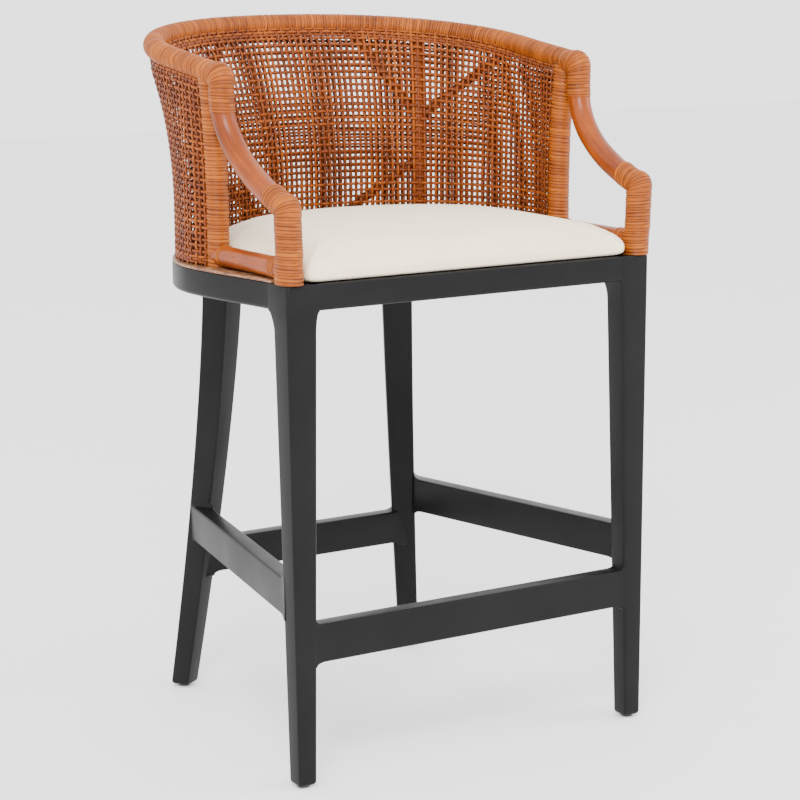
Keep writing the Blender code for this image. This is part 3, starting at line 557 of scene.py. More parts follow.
def bare_wood_material():
    base = ("bare_wood", (0.52, 0.36, 0.21), 0.7)
    stops = ((0.3, (0.38, 0.24, 0.12)), (0.5, (0.52, 0.36, 0.21)), (0.72, (0.62, 0.46, 0.29)))
    grain = (1.0, 5.0, 0.6)
    return grain_material(base, (7.0, 120.0, 160.0), grain, stops, (0.62, 0.82), (0.2, 0.0004))


def wave(tree, place, direction):
    settings = {"vector": place, "scale": 420.0, "distortion": 0.6, "detail_scale": 1.5}
    texture = add_node(tree, "ShaderNodeTexWave", **settings)
    texture.wave_type = "BANDS"
    texture.bands_direction = direction
    return texture.outputs["Fac"]


def fabric_material():
    """Plain-woven off-white upholstery with thread relief, slubs and a soft sheen."""
    material, tree, shader = new_material(
        "cushion_fabric", (0.86, 0.80, 0.70), 0.9, sheen_weight=0.25, sheen_roughness=0.5
    )
    place = object_place(tree)
    threads = mix(tree, wave(tree, place, "X"), wave(tree, place, "Y"), 0.5)
    slubs = noise(tree, object_place(tree, (60.0, 420.0, 60.0)), 1.0, 2.0)
    tone = mix(tree, slubs, noise(tree, place, 14.0), 0.5)
    stops = ((0.3, (0.91, 0.745, 0.525)), (0.7, (0.97, 0.830, 0.615)))
    drive(tree, shader, ramp(tree, tone, stops), spread(tree, slubs, 0.82, 0.95))
    add_bump(tree, shader, threads, 0.22, 0.0003)
    return material


def nylon_material():
    stops = ((0.35, (0.022, 0.022, 0.023)), (0.65, (0.040, 0.040, 0.041)))
    base = ("nylon", (0.03, 0.03, 0.03), 0.5)
    return grain_material(base, (1.0, 1.0, 1.0), (900.0, 2.0), stops, (0.42, 0.6), (0.2, 0.0002))


def zinc_material():
    stops = ((0.35, (0.50, 0.50, 0.47)), (0.65, (0.70, 0.69, 0.64)))
    base = ("zinc_steel", (0.62, 0.61, 0.57), 0.35)
    wear, relief = (0.28, 0.45), (0.15, 0.0002)
    return grain_material(base, (1.0, 1.0, 1.0), (300.0,), stops, wear, relief, metallic=1.0)


PAINT = paint_material()
POLISHED = rattan_material()
BINDING = cane_material(
    "cane_binding",
    ((0.22, (0.060, 0.012, 0.001)), (0.50, (0.270, 0.060, 0.002)), (0.78, (0.520, 0.145, 0.006))),
    60.0,
)
WEAVE = cane_material(
    "cane_weave",
    ((0.22, (0.040, 0.007, 0.001)), (0.50, (0.180, 0.035, 0.002)), (0.78, (0.370, 0.090, 0.005))),
    45.0,
)
TRIM = trim_material()
BARE_WOOD = bare_wood_material()
FABRIC = fabric_material()
NYLON = nylon_material()
ZINC = zinc_material()


# ------------ painted base
def painted(name, rings, node):
    finish_piece(loft(name, rings, PAINT), "painted_wood", node)


def rounded_rectangle(half_width, half_height, radius, corner_steps):
    """Points round a rectangle with rounded corners, as (sideways, upward) pairs."""
    quarter = np.arange(4)[:, None]
    turn = np.linspace(0.0, 1.0, corner_steps)[None, :]
    angle = (math.pi / 2 * (quarter + turn)).ravel()
    sideways = np.repeat([1, -1, -1, 1], corner_steps) * (half_width - radius)
    upward = np.repeat([1, 1, -1, -1], corner_steps) * (half_height - radius)
    return np.stack([sideways + radius * np.cos(angle), upward + radius * np.sin(angle)], -1)


def leg_ring(centre, across, along, size, radius, z):
    """A rounded rectangle in plan at height z; across and along are its two directions."""
    section = rounded_rectangle(size[0] / 2, size[1] / 2, radius, 7)
    plan = centre + np.outer(section[:, 0], across) + np.outer(section[:, 1], along)
    return np.column_stack([plan, np.full(len(plan), z)])


def foot_levels():
    """Inset and height above the leg's bottom, for its rounded lower edge."""
    levels = []
    for angle in np.linspace(0.0, math.pi / 2, 5):
        inset = FOOT_ROUNDING * (1 - math.sin(angle))
        levels.append((inset * 0.8, FOOT_ROUNDING * (1 - math.cos(angle))))
    return levels


def front_leg_box(side, z):
    """Middle and size of a front leg's section at height z."""
    drop = 1 - (z - LEG_BOTTOM) / (FRAME_BOTTOM - LEG_BOTTOM)
    size = blend(FRONT_TOP_SIZE, FRONT_FOOT_SIZE, drop)
    outer_x = HALF_FRONT + FRONT_FOOT_SHIFT[0] * drop
    front_y = FRONT_FOOT_SHIFT[1] * drop
    return np.array([side * (outer_x - size[0] / 2), front_y + size[1] / 2]), size


def front_leg(side):
    """Tapered leg that swells into its head; the head's outer face follows the seat frame."""
    flare_start = FRAME_BOTTOM - FLARE_HEIGHT
    foot_radius = LEG_CORNER_RADIUS * FOOT_CORNER_SHARE
    rings = []
    for inset, rise in foot_levels():
        z = LEG_BOTTOM + rise
        centre, size = front_leg_box(side, z)
        rings.append(leg_ring(centre, X_WAY, Y_WAY, size - 2 * inset, foot_radius, z))
    for z in np.linspace(LEG_BOTTOM + 2 * FOOT_ROUNDING, flare_start, 10, endpoint=False):
        centre, size = front_leg_box(side, z)
        radius = LEG_CORNER_RADIUS * blend(FOOT_CORNER_SHARE, 1.0, z / flare_start)
        rings.append(leg_ring(centre, X_WAY, Y_WAY, size, radius, z))
    for rise in np.linspace(0.0, 1.0, 13):
        z = blend(flare_start, FRAME_BOTTOM, rise)
        centre, size = front_leg_box(side, z)
        grown = blend(size, FRONT_HEAD, 1 - math.sqrt(1 - rise * rise))
        moved = centre + np.array([-side, 1.0]) * (grown - size) / 2
        rings.append(leg_ring(moved, X_WAY, Y_WAY, grown, LEG_CORNER_RADIUS, z))
    head = np.array([side * (HALF_FRONT - FRONT_HEAD / 2), FRONT_HEAD / 2])
    for rise, trim in ((0.5, 0.0), (0.94, 0.0), (1.0, HEAD_TRIM)):
        z = blend(FRAME_BOTTOM, FRAME_TOP, rise)
        size = np.full(2, FRONT_HEAD - trim)
        rings.append(leg_ring(head, X_WAY, Y_WAY, size, LEG_CORNER_RADIUS, z))
    rings = np.array(rings)
    skew = frame_side_half(FRONT_HEAD) - HALF_FRONT
    reach = smooth_step((rings[..., 2] - flare_start) / FLARE_HEIGHT)
    outer = np.clip((side * rings[..., 0] - HALF_FRONT + FRONT_HEAD) / FRONT_HEAD, 0.0, 1.0)
    back = np.clip(rings[..., 1] / FRONT_HEAD, 0.0, 1.0)
    rings[..., 0] += side * skew * reach * outer * back
    name = f"front_{side_name(side)}_leg"
    painted(f"{name}_painted", rings, name)


def rear_directions(side):
    outward = np.array([side * math.cos(REAR_FACING), math.sin(REAR_FACING)])
    across = np.array([side * math.sin(REAR_FACING), -math.cos(REAR_FACING)])
    return across, outward


def rear_leg_box(side, z):
    """Middle and size of a rear leg's section at height z."""
    drop = 1 - (z - LEG_BOTTOM) / (FRAME_BOTTOM - LEG_BOTTOM)
    reach = max(drop, 0.0) ** REAR_SPLAY_POWER
    centre = blend(REAR_TOP_CENTRE, REAR_FOOT_CENTRE, reach) * np.array([side, 1.0])
    return centre, blend(REAR_TOP_SIZE, REAR_FOOT_SIZE, drop)


def rear_leg(side):
    across, outward = rear_directions(side)
    levels = foot_levels()
    levels += [(0.0, rise) for rise in np.linspace(0.012, FRAME_BOTTOM - LEG_BOTTOM, 24)]
    radius = LEG_CORNER_RADIUS * FOOT_CORNER_SHARE
    rings = []
    for inset, rise in levels:
        centre, size = rear_leg_box(side, LEG_BOTTOM + rise)
        rings.append(leg_ring(centre, across, outward, size - 2 * inset, radius, LEG_BOTTOM + rise))
    name = f"rear_{side_name(side)}_leg"
    painted(f"{name}_painted", rings, name)


def glide(side, row, centre):
    """A domed nylon disc under a leg."""
    angle = np.linspace(0.0, 2 * math.pi, 28, endpoint=False)
    circle = np.stack([np.cos(angle), np.sin(angle)], -1)
    rings = []
    for radius, z in (*GLIDE_PROFILE, (GLIDE_PROFILE[-1][0], LEG_BOTTOM)):
        rings.append(np.column_stack([centre + radius * circle, np.full(len(angle), z)]))
    name = f"{row}_{side_name(side)}_glide"
    finish_piece(loft(f"{name}_disc", rings, NYLON), "nylon", name)


def bar_section(half_width, low, high, radius):
    """Section of a bar as (sideways, height) pairs."""
    section = rounded_rectangle(half_width, (high - low) / 2, radius, 5)
    return section + np.array([0.0, (low + high) / 2])


def bar(ends, planes, laps, heights):
    """Rings of a straight bar between two upright planes, deeper towards its ends.

    It runs on past each plane, into the leg there, by that end's lap.
    """
    start, end = ends
    along = unit(end - start)
    across = np.array([along[1], -along[0]])
    shares = np.linspace(0.0, 1.0, 7)
    places = STRETCHER_FLARE_LENGTH * shares
    swell = 1 - np.sqrt(1 - (1 - shares) ** 2)
    stations = [(planes[0], -laps[0], 1.0)]
    stations += [(planes[0], place, growth) for place, growth in zip(places, swell)]
    stations += [(planes[1], -place, growth) for place, growth in zip(places[::-1], swell[::-1])]
    stations.append((planes[1], laps[1], 1.0))
    rings = []
    for (point, normal), place, growth in stations:
        grow = STRETCHER_FLARE * growth
        low, high = heights[0] - grow, heights[1] + grow
        section = bar_section(STRETCHER_THICKNESS / 2, low, high, STRETCHER_EDGE)
        line = start + np.outer(section[:, 0], across)
        to_plane = (point - line) @ normal / (along @ normal)
        spot = line + np.outer(to_plane + place, along)
        rings.append(np.column_stack([spot, section[:, 1]]))
    return rings


def cross_bar(name, node, half, y, lap, heights):
    """A bar across the stool, the same at both ends."""
    ends = np.array([-half, y]), np.array([half, y])
    planes = [(end, X_WAY) for end in ends]
    painted(name, bar(ends, planes, (lap, lap), heights), node)


def footrest():
    centre, size = front_leg_box(1, FOOTREST_Z[0])
    half = centre[0] - size[0] / 2
    y = centre[1] - size[1] / 2 + STRETCHER_THICKNESS / 2 + FOOTREST_SETBACK
    cross_bar("footrest_painted", "front_stretcher", half, y, STRETCHER_LAP, FOOTREST_Z)


def side_stretcher(side):
    front_centre, front_size = front_leg_box(side, sum(SIDE_STRETCHER_Z) / 2)
    rear_centre, rear_size = rear_leg_box(side, SIDE_STRETCHER_Z[1] + SIDE_REAR_RISE)
    across, outward = rear_directions(side)
    rear_face = rear_centre + across * (rear_size[0] / 2)
    corner = rear_face + outward * (rear_size[1] / 2 - SIDE_REAR_CORNER)
    start = np.array([
        front_centre[0] + side * (front_size[0] / 2 - SIDE_SETBACK),
        front_centre[1] + front_size[1] / 2,
    ])
    along = unit(corner - start)
    inward = np.array([-side * along[1], side * along[0]]) * STRETCHER_THICKNESS / 2
    planes = (start, Y_WAY), (rear_face, across)
    laps = STRETCHER_LAP, SIDE_REAR_LAP
    name = f"{side_name(side)}_side_stretcher"
    rings = bar((start + inward, corner + inward), planes, laps, SIDE_STRETCHER_Z)
    painted(f"{name}_painted", rings, name)


def back_stretcher():
    centre, _ = rear_leg_box(1, sum(BACK_STRETCHER_Z) / 2)
    half = centre[0] - BACK_CONTACT
    name = "back_stretcher"
    cross_bar(f"{name}_painted", name, half, BACK_STRETCHER_Y, BACK_LAP, BACK_STRETCHER_Z)


def rail_section(width, low, high, radius, top_radius):
    """A rail's section as (inset from its outer face, height), with rounded outer edges."""
    turn = np.linspace(0.0, math.pi / 2, 6)
    lower = np.stack([radius * (1 - np.sin(turn)), low + radius * (1 - np.cos(turn))], -1)
    upper = np.stack(
        [top_radius * (1 - np.cos(turn)), high - top_radius * (1 - np.sin(turn))], -1
    )
    inner = np.array([[width, high], [width, low]])
    return np.vstack([lower, upper, inner])


def frame_sweep(name, first, last, section, material, slot, node):
    """A section swept along the seat frame's outline, from one step of it to another."""
    outline = frame_outline()
    along = tangents(outline)
    inward = np.stack([-along[:, 1], along[:, 0]], -1)
    spot = outline[:, None] + inward[:, None] * section[None, :, :1]
    height = np.broadcast_to(section[None, :, 1:], (len(outline), len(section), 1))
    rings = np.concatenate([spot, height], -1)[first:last + 1]
    finish_piece(loft(name, rings, material), slot, node)


def first_step_behind(y):
    """First step of the frame's outline that lies behind y."""
    return int(np.argmax(frame_outline()[:, 1] >= y))


def seat_rails():
    section = rail_section(RAIL_WIDTH, FRAME_BOTTOM, FRAME_TOP, RAIL_EDGE, RAIL_TOP_EDGE)
    section[:, 0] += FACE_STEP
    start = first_step_behind(FRONT_HEAD - HEAD_LAP)
    joint = RAIL_JOINT_STEP
    for name, first, last in (
        ("right_side_rail", start, joint),
        ("back_rail", joint, FRAME_STEPS - joint),
        ("left_side_rail", FRAME_STEPS - joint, FRAME_STEPS - start),
    ):
        frame_sweep(f"{name}_painted", first, last, section, PAINT, "painted_wood", name)


def front_rail():
    section = rail_section(
        FRONT_RAIL_THICKNESS, FRAME_BOTTOM, FRAME_TOP, FRONT_RAIL_EDGE, RAIL_TOP_EDGE
    )
    section[:, 0] += FACE_STEP
    half = HALF_FRONT - FRONT_HEAD + HEAD_LAP
    across = np.linspace(-half, half, 5)
    rings = [np.column_stack([np.full(len(section), x), section]) for x in across]
    painted("front_rail_painted", rings, "front_rail")


def edge_trim():
    section = bar_section(TRIM_HALF_WIDTH, TRIM_BOTTOM, TRIM_TOP, TRIM_EDGE)
    section[:, 0] += TRIM_MIDDLE
    start = first_step_behind(TRIM_START_Y)
    last = FRAME_STEPS - start
    frame_sweep("edge_trim_strip", start, last, section, TRIM, "trim_wood", "edge_trim")


def painted_base():
    for side in (-1, 1):
        front_leg(side)
        rear_leg(side)
        glide(side, "front", front_leg_box(side, LEG_BOTTOM)[0])
        glide(side, "rear", rear_leg_box(side, LEG_BOTTOM)[0])
        side_stretcher(side)
    footrest()
    back_stretcher()
    seat_rails()
    front_rail()
    edge_trim()


# ------------ wrapped poles
def wrapped_rings(centres, across, over, reach_across, reach_over, length, pitch):
    """Rings of a pole wound with cane strip, and the attributes that its material reads.

    reach_across and reach_over are the pole's half sizes at each ring.
    """
    angle = np.linspace(0.0, 2 * math.pi, WRAP_SIDES, endpoint=False)
    drift = 0.16 * np.sin(length * 410 + 1.1) + 0.11 * np.sin(length * 1130 + 0.4)
    phase = (length / pitch + drift)[:, None] + angle[None, :] / (2 * math.pi)
    turn = np.floor(phase)
    share = phase - turn
    tone = np.modf(np.abs(np.sin(turn * 12.9898 + 4.1) * 43758.5453))[0]
    ridge = 1 - np.abs(2 * share - 1) ** 2.6
    depth = STRIP_RELIEF * min(pitch / RAIL_RINGS_PITCH, 1.15)
    height = depth * (ridge - 0.75) + 0.00030 * (tone - 0.5)
    arm = (
        across[:, None] * (np.cos(angle)[None, :] * (reach_across[:, None] + height))[..., None]
        + over[:, None] * (np.sin(angle)[None, :] * (reach_over[:, None] + height))[..., None]
    )
    attributes = {
        "along": phase * 2 * math.pi * reach_across[:, None],
        "across": np.abs(2 * share - 1),
        "strand": blend(0.18, 0.82, tone),
    }
    return centres[:, None] + arm, attributes


def wrapped_pole(name, path, reference, radius, pitch, *nodes):
    """A pole wound with cane; reference is as in ring_axes, or works it out from a path."""
    path = even_points(path, int(distances(path)[-1] / pitch * WRAP_STEPS) + 2)
    if callable(reference):
        reference = reference(path)
    across, over = ring_axes(path, reference)
    reach = np.full(len(path), radius)
    rings, attributes = wrapped_rings(path, across, over, reach, reach, distances(path), pitch)
    wrapping = loft(name, rings, BINDING, attributes, WRAP_SMOOTH_ANGLE)
    finish_piece(wrapping, "cane_binding", *nodes)


def rim_path():
    """Round the back at the rim's height, from elbow to elbow."""
    plan = horseshoe(RIM_PLAN, ELBOW_Y + ELBOW_BEND, 241)
    return np.column_stack([plan, rim_height(plan[:, 1])])


def outward_in_plan(path):
    """Out of the barrel, level, along a path that runs round it; straight out at its drops."""
    along = tangents(path)
    flat = np.stack([along[:, 1], -along[:, 0], np.zeros(len(path))], -1)
    sideways = np.stack([np.sign(path[:, 0]), np.zeros(len(path)), np.zeros(len(path))], -1)
    level = np.linalg.norm(flat, axis=1, keepdims=True)
    return unit(blend(sideways, flat / np.maximum(level, 1e-6), smooth_step((level - 0.2) / 0.5)))


def arm_path(side, count=70):
    """From under the elbow, down and forward in an easy curve to the front post."""
    top = np.array([RIM_PLAN["side_half"] - 0.0012, ELBOW_Y, ARM_TOP_Z])
    bend = top - np.array([0.0, 0.0, 0.006])
    end = np.array([KNUCKLE_X, FRONT_POST_Y, ARM_END_Z])
    curve = bezier(
        bend, bend + np.array([-0.002, -0.0015, -0.050]), end + np.array([0.0, *ARM_END_RUN]),
        end, count,
    )
    path = np.vstack([top, curve])
    return path if side > 0 else mirrored(path)


def rim():
    path = rim_path()
    wrapped_pole("rim_wrapping", path, outward_in_plan, RIM_RADIUS, RIM_PITCH, "rim_pole")


def wound_corner(name, node, side, pivot, turn_from, reaches, lead, tail, pitch):
    """Cane wound along a pole, fanned over a sharp corner and on down another pole.

    The turns all meet at pivot, the corner's inner point, while they swing round. reaches
    holds the first pole's radius and the second one's. lead holds centres before the
    bend; tail is centres after it with their reaches along and across.
    """
    turn = np.linspace(turn_from, 0.0, 70)
    share = 1 - turn / turn_from
    plain = blend(reaches[0], reaches[1], share)
    radial = plain * (1 + CORNER_PEAK * np.sin(math.pi * share) ** 1.5)
    out = np.stack([np.zeros(len(turn)), -np.cos(turn), np.sin(turn)], -1)
    bend = pivot + out * radial[:, None]
    centres = np.vstack([lead, bend, tail[0]])
    out = np.vstack([
        np.repeat(out[:1], len(lead), 0), out, np.repeat(out[-1:], len(tail[0]), 0),
    ])
    reach_out = np.concatenate([np.full(len(lead), reaches[0]), radial, tail[1]])
    reach_side = np.concatenate([np.full(len(lead), reaches[0]), plain, tail[2]])
    middle_line = centres + out * reach_out[:, None] / 2
    length = distances(middle_line)
    sideways = np.broadcast_to(np.array([1.0, 0.0, 0.0]), centres.shape)
    rings, attributes = wrapped_rings(
        centres, out, sideways, reach_out, reach_side, length, pitch
    )
    if side < 0:
        rings = mirrored(rings)
    else:
        rings = rings[:, ::-1]
        attributes = {key: values[:, ::-1] for key, values in attributes.items()}
    wrapping = loft(name, rings, BINDING, attributes, WRAP_SMOOTH_ANGLE)
    finish_piece(wrapping, "cane_binding", node)


def elbow(side):
    """Wide wraps that carry the rim's end over the corner and onto the arm pole."""
    reach = ARM_RADIUS + WRAP_DEPTH
    x = arm_path(1)[0, 0]
    pivot = np.array([x, ELBOW_Y + reach, ELBOW_HEIGHT - reach])
    before = np.linspace(0.010, 0.0, 20, endpoint=False)[:, None]
    lead = pivot + np.array([0.0, 0.0, reach]) + before * np.array([0.0, 1.0, 0.04])
    pole = arm_path(1, 400)
    pole = pole[(pole[:, 2] > ELBOW_WRAP_BOTTOM) & (pole[:, 2] < pivot[2] - 0.008)]
    joined = np.vstack([[x, ELBOW_Y, pivot[2]], pole])
    tail = even_points(joined, int(distances(joined)[-1] / ELBOW_PITCH * 9))[1:]
    even = np.full(len(tail), reach)
    name = f"{side_name(side)}_elbow"
    wound_corner(
        f"{name}_wrapping", f"{name}_binding", side, pivot, math.pi / 2, (reach, reach), lead,
        (tail, even, even), ELBOW_PITCH,
    )


def knuckle(side):
    """Wraps that run off the arm's end, over the corner and down the front post."""
    arm_reach, post_reach = ARM_RADIUS + WRAP_DEPTH, FRONT_POST_RADIUS
    slope = math.atan2(*ARM_END_RUN[::-1])
    inner_z = ARM_END_Z + post_reach * math.tan(slope) - arm_reach / math.cos(slope)
    pivot = np.array([KNUCKLE_X, FRONT_POST_Y + post_reach, inner_z + 0.0012])
    corner = math.pi / 2 - slope
    first = pivot + arm_reach * np.array([0.0, -math.cos(corner), math.sin(corner)])
    before = np.linspace(0.022, 0.0, 40, endpoint=False)[:, None]
    arm_way = np.array([0.0, math.cos(slope), math.sin(slope)])
    lead = first + before * arm_way + before**2 * np.array([0.0, -0.6, 2.6])
    bottom = FRAME_TOP + 0.0004
    tail_z = np.linspace(pivot[2], bottom, 170)[1:]
    height_share = (tail_z - bottom) / (pivot[2] - bottom)
    foot = KNUCKLE_FOOT * smooth_step((RAIL_Z + 0.016 - tail_z) / 0.006)
    tail_x = blend(FRONT_POST_X, KNUCKLE_X, height_share)
    tail = np.stack([tail_x, FRONT_POST_Y + foot, tail_z], -1)
    name = f"{side_name(side)}_front_post"
    wound_corner(
        f"{name}_wrapping", name, side, pivot, corner, (arm_reach, post_reach), lead,
        (tail, post_reach + foot, np.full(len(tail), post_reach)), KNUCKLE_PITCH,
    )


def end_post_path(side):
    column = 0.0 if side > 0 else 1.0
    foot = rise_at_height(column, TRIM_TOP + 0.0003)
    return barrel_point(column, np.concatenate([[foot], np.linspace(0.05, 0.985, 60)]))


def end_post(side):
    name = f"{side_name(side)}_end_post"
    x_way = np.array([float(side), 0.0, 0.0])
    path = end_post_path(side)
    wrapped_pole(f"{name}_wrapping", path, x_way, END_POST_RADIUS, POST_PITCH, name)


def arm(side):
    name = f"{side_name(side)}_arm_pole"
    x_way = np.array([float(side), 0.0, 0.0])
    polished_pole(f"{name}_polished", arm_path(side), x_way, ARM_RADIUS, 32, name)


def lower_rail(side):
    """Short polished rail beside the cushion, bound with a few rings at each end."""
    x_way = np.array([float(side), 0.0, 0.0])
    start = np.array([side * FRONT_POST_X, FRONT_POST_Y + 0.006, RAIL_Z])
    end = np.array([end_post_path(side)[0, 0], END_POST_Y - 0.004, RAIL_Z])
    path = np.linspace(start, end, 40)
    name = f"{side_name(side)}_lower_rail"
    polished_pole(f"{name}_polished", path, x_way, LOWER_RAIL_RADIUS, 32, name)
    along = (end - start) / np.linalg.norm(end - start)
    front = start + along * 0.0155
    rear = end - along * 0.0105
    for place, first, last, steps, nodes in (
        ("front", front, front + along * 0.0135, 12, [f"{name}_binding"]),
        ("rear", rear - along * 0.0068, rear, 8, []),
    ):
        rings = np.linspace(first, last, steps)
        radius = LOWER_RAIL_RADIUS + WRAP_DEPTH
        wrapped_pole(f"{name}_{place}_rings", rings, x_way, radius, RAIL_RINGS_PITCH, *nodes)


# ------------ barrel
def panel_offset(side, column, rise):
    """Distance of a panel from the poles' middle; it draws in at the rim and the end posts."""
    at_rim = smooth_step((rise - 0.88) / (WEAVE_TOP - 0.88))
    edge = np.minimum(column, 1 - column)
    at_post = 1 - smooth_step((edge - 0.002) / 0.016)
    return side * (CANE_OFFSET - RIM_TUCK * at_rim - POST_TUCK * at_post)


def strand_rings(path, normal, size):
    """Flattened oval rings along strands; path and normal are (strand, step, xyz)."""
    along = tangents(path)
    over = unit(normal - along * np.sum(normal * along, -1, keepdims=True))
    across = np.cross(along, over)
    turn = np.linspace(0.0, 2 * math.pi, STRAND_SIDES, endpoint=False) + math.pi / STRAND_SIDES
    square_x, square_y = (np.sign(w) * np.abs(w) ** 0.7 for w in (np.cos(turn), np.sin(turn)))
    return (
        path[:, :, None]
        + across[:, :, None] * (square_x * size[0] / 2)[:, None]
        + over[:, :, None] * (square_y * size[1] / 2)[:, None]
    )


def strand_attributes(path):
    strands, steps = path.shape[:2]
    length = np.stack([distances(one) for one in path])
    tone = RANDOM.uniform(0.12, 0.88, strands)
    start = RANDOM.uniform(0.0, 10.0, strands)
    angle = np.linspace(0.0, 2 * math.pi, STRAND_SIDES, endpoint=False)
    shape = (strands, steps, STRAND_SIDES)
    return {
        "along": np.broadcast_to((length + start[:, None])[..., None], shape),
        "across": np.broadcast_to(np.abs(np.cos(angle + math.pi / STRAND_SIDES)), shape),
        "strand": np.broadcast_to(tone[:, None, None], shape),
    }


def over_under(count, first, place):
    """Swing of strands that pass over and under in turn; place counts those that they cross."""
    sign = first * (1.0 - 2.0 * (np.arange(count) % 2))[:, None]
    return WEAVE_SWING * sign * np.cos(math.pi * place)


def wander(count, reach, place, waves):
    """A slow drift of each strand, different from strand to strand."""
    size = RANDOM.normal(0.0, reach, count)[:, None]
    return size * np.sin(place * waves + RANDOM.uniform(0, 6, count)[:, None])


def weave_layer(side):
    """Upright and level strands of one panel; side 1 is the outer panel, -1 the inner."""
    columns = np.linspace(WEAVE_EDGE, 1 - WEAVE_EDGE, WEAVE_COLUMNS)
    rows = weave_rows(side)
    low = rise_at_height(columns, TRIM_TOP + 0.0008)
    share = np.linspace(0.0, 1.0, (WEAVE_ROWS + 2) * STRAND_STEPS)
    rise = low[:, None] + (WEAVE_TOP - low[:, None]) * share[None, :]
    column = np.broadcast_to(columns[:, None], rise.shape)
    swing = over_under(WEAVE_COLUMNS, 1.0, np.interp(rise, rows, np.arange(len(rows))))
    drift = wander(WEAVE_COLUMNS, 0.00035, rise, 9)
    upright = barrel_point(column + drift, rise, panel_offset(side, column, rise) + swing)
    upright_normal = barrel_normal(column, rise)

    share = np.linspace(0.003, 0.997, WEAVE_COLUMNS * STRAND_STEPS)
    column = np.broadcast_to(share[None, :], (len(rows), len(share)))
    rise = np.broadcast_to(rows[:, None], column.shape)
    swing = over_under(len(rows), -1.0, np.interp(column, columns, np.arange(WEAVE_COLUMNS)))
    drift = wander(len(rows), 0.0012, column, 14)
    level = barrel_point(column, rise + drift, panel_offset(side, column, rise) + swing)
    level_normal = barrel_normal(column, rise)
    return (upright, upright_normal, UPRIGHT_SIZE), (level, level_normal, LEVEL_SIZE)


def weave_rows(side):
    """Rises of the level strands: packed at the foot and the top, evenly open between."""
    foot = float(rise_at_height(0.5, TRIM_TOP + 0.0026))
    packed = 0.016
    middle = np.linspace(foot + packed + 0.022, 0.915, WEAVE_ROWS - 3)
    top = np.arange(middle[-1] + packed, WEAVE_TOP - 0.004, packed)
    if side > 0:
        middle -= LAYER_DROP / (BACK_HEIGHT - HOOP_Z)
    return np.concatenate([[foot, foot + packed], middle, top])


def cane_panel(name, side, node):
    points, faces, attributes = [], [], {"along": [], "across": [], "strand": []}
    offset = 0
    for path, normal, size in weave_layer(side):
        rings = strand_rings(path, normal, size)
        strands, steps, sides = rings.shape[:3]
        points.append(rings.reshape(-1, 3))
        for face in tube_faces(strands, steps, sides):
            faces.append([corner + offset for corner in face])
        for key, values in strand_attributes(path).items():
            attributes[key].append(values.ravel())
        offset += strands * steps * sides
    joined = {key: np.concatenate(values) for key, values in attributes.items()}
    piece = make_mesh(name, np.vstack(points), faces, WEAVE, joined, WRAP_SMOOTH_ANGLE)
    finish_piece(piece, "cane_weave", node)


def hidden_poles():
    """Base hoop, ribs and braces between the two panels."""
    hoop = barrel_point(np.linspace(0.0, 1.0, 200), 0.0)
    out = outward_in_plan(hoop)
    polished_pole("base_hoop_pole", hoop, out, HOOP_RADIUS, 16, "base_hoop")
    taper = ([0.0, 0.86, 1.0], [RIB_RADIUS, RIB_RADIUS, RIB_RADIUS * 0.55])
    for side in (-1, 1):
        column = RIB_COLUMN if side > 0 else 1 - RIB_COLUMN
        out = barrel_normal(column, 0.5)
        name = f"{side_name(side)}_rib"
        rib = barrel_point(column, np.linspace(0.03, 0.955, 40))
        polished_pole(f"{name}_pole", rib, out, taper, 20, name)
        for brace, (rib_rise, far_column, far_rise) in BRACES.items():
            share = np.linspace(0.0, 1.0, 30)
            columns = blend(RIB_COLUMN, far_column, share)
            if side < 0:
                columns = 1 - columns
            name = f"{side_name(side)}_{brace}"
            path = barrel_point(columns, blend(rib_rise, far_rise, share))
            polished_pole(f"{name}_pole", path, out, BRACE_RADIUS, 14, name)


def rattan_work():
    rim()
    for side in (-1, 1):
        end_post(side)
        arm(side)
        elbow(side)
        knuckle(side)
        lower_rail(side)
    hidden_poles()
    cane_panel("outer_cane_strands", 1, "outer_cane_panel")
    cane_panel("inner_cane_strands", -1, "inner_cane_panel")


# ------------ cushion
def cushion_outline(inset, count=160):
    half_front = CUSHION_FRONT_HALF - inset
    half_side = CUSHION_SIDE_HALF - inset
    front_y = CUSHION_FRONT_Y + inset
    corner = max(CUSHION_CORNER - inset * 0.3, 0.006)
    turn = np.linspace(0.0, math.pi / 2, 10)
    corner_part = np.stack(
        [half_front - corner + corner * np.sin(turn), front_y + corner - corner * np.cos(turn)], -1
    )
    back = round_back(half_side, CUSHION_SIDE_Y, CUSHION_BACK_Y - inset, 2.0, 120)[:61]
    right = np.vstack([[0.0, front_y], corner_part, back])
    left = right[::-1][1:] * np.array([-1.0, 1.0])
    return even_points(np.vstack([right, left]), count + 1)[:-1]


def cushion_shell():
    """A closed crowned shell, a little flatter than the finished pad."""
    rise = CUSHION_CROWN - CUSHION_BOTTOM - CUSHION_SWELL
    rings = []
    for inset, share in CUSHION_LEVELS:
        outline = cushion_outline(inset)
        rings.append(np.column_stack([outline, np.full(len(outline), CUSHION_BOTTOM + rise * share)]))
    return loft("seat_pad_cover", rings, FABRIC)


def apply_modifier(piece, modifier):
    with bpy.context.temp_override(object=piece, active_object=piece, selected_objects=[piece]):
        bpy.ops.object.modifier_apply(modifier=modifier.name)


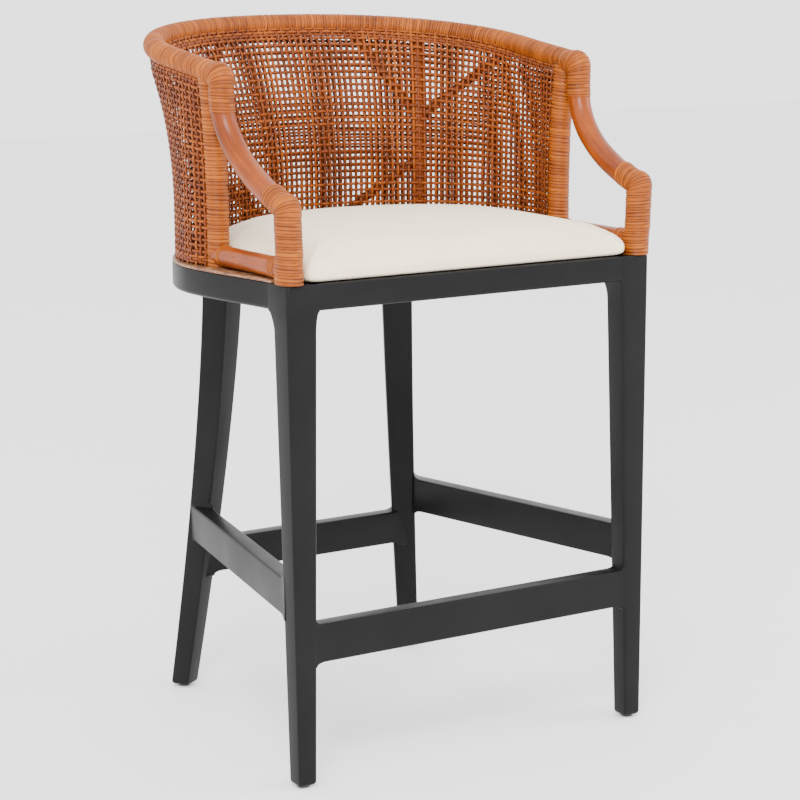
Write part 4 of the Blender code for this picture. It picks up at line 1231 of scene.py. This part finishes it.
def inflate(piece):
    """Cloth under light pressure, held along its underside; movement is capped."""
    remesh = piece.modifiers.new("even_faces", "REMESH")
    remesh.mode = "VOXEL"
    remesh.voxel_size = CUSHION_VOXEL
    apply_modifier(piece, remesh)
    start = np.array([vertex.co for vertex in piece.data.vertices])
    held = piece.vertex_groups.new(name="held")
    low = CUSHION_BOTTOM + CUSHION_HELD
    held.add([int(i) for i in np.nonzero(start[:, 2] < low)[0]], 1.0, "REPLACE")
    cloth = piece.modifiers.new("pressure", "CLOTH")
    cloth.settings.use_pressure = True
    cloth.settings.uniform_pressure_force = 4.0
    cloth.settings.effector_weights.gravity = 0.0
    cloth.settings.vertex_group_mass = "held"
    cloth.settings.quality = 6
    cloth.point_cache.frame_start = 1
    cloth.point_cache.frame_end = CLOTH_FRAMES
    for frame_number in range(1, CLOTH_FRAMES + 1):
        bpy.context.scene.frame_set(frame_number)
    apply_modifier(piece, cloth)
    moved = np.array([vertex.co for vertex in piece.data.vertices])
    step = moved - start
    reach = np.linalg.norm(step, axis=1, keepdims=True)
    step *= np.minimum(1.0, CUSHION_SWELL / np.maximum(reach, 1e-9))
    piece.data.vertices.foreach_set("co", (start + step).ravel())
    bpy.context.scene.frame_set(1)


def cushion():
    piece = cushion_shell()
    inflate(piece)
    smooth = piece.modifiers.new("soften", "SMOOTH")
    smooth.factor = 0.5
    smooth.iterations = 3
    apply_modifier(piece, smooth)
    finer = piece.modifiers.new("finer", "SUBSURF")
    finer.levels = 1
    finer.render_levels = 1
    apply_modifier(piece, finer)
    piece.data.shade_smooth()
    finish_piece(piece, "cushion_fabric", "seat_cushion")


# ------------ carried-over nodes
def dress_nodes():
    """Better materials on the hidden pieces whose shape is right already."""
    wooden = (
        "seat_board", "front_left_corner_block", "front_right_corner_block",
        "rear_left_cleat", "rear_right_cleat",
    )
    for name in wooden:
        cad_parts[name].material_slots[0].material = BARE_WOOD
    for number in range(1, 5):
        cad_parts[f"seat_screw_{number}"].material_slots[0].material = ZINC


# ------------ studio
def area_light(name, place, size, power):
    data = bpy.data.lights.new(name, "AREA")
    data.shape = "RECTANGLE"
    data.size, data.size_y = size
    data.energy = power
    light = bpy.data.objects.new(name, data)
    light.location = place
    light.rotation_euler = (Vector(LIGHT_TARGET) - Vector(place)).to_track_quat("-Z", "Y").to_euler()
    bpy.context.scene.collection.objects.link(light)


def studio():
    world = bpy.data.worlds.new("studio")
    world.use_nodes = True
    background = world.node_tree.nodes["Background"]
    background.inputs["Color"].default_value = (1.0, 1.0, 1.0, 1.0)
    background.inputs["Strength"].default_value = WORLD_STRENGTH
    bpy.context.scene.world = world
    area_light("key", (-1.7, -2.2, 2.6), (1.3, 1.3), 120.0)
    area_light("side", (2.6, -1.6, 1.9), (1.4, 1.6), 40.0)
    floor_mesh = bpy.data.meshes.new("floor")
    corners = [(x * FLOOR_REACH, y * FLOOR_REACH, 0) for x, y in ((-1, -1), (1, -1), (1, 1), (-1, 1))]
    floor_mesh.from_pydata(corners, [], [(0, 1, 2, 3)])
    floor = bpy.data.objects.new("floor", floor_mesh)
    material, _, _ = new_material("pale_floor", (0.93, 0.93, 0.93), 0.9)
    floor_mesh.materials.append(material)
    bpy.context.scene.collection.objects.link(floor)


def camera():
    data = bpy.data.cameras.new("camera")
    data.lens = CAMERA_LENS
    data.sensor_width = 36.0
    view = bpy.data.objects.new("camera", data)
    view.location = CAMERA_PLACE
    view.rotation_euler = tuple(math.radians(angle) for angle in CAMERA_TURN)
    bpy.context.scene.collection.objects.link(view)
    bpy.context.scene.camera = view


camera()
studio()
painted_base()
rattan_work()
cushion()
dress_nodes()
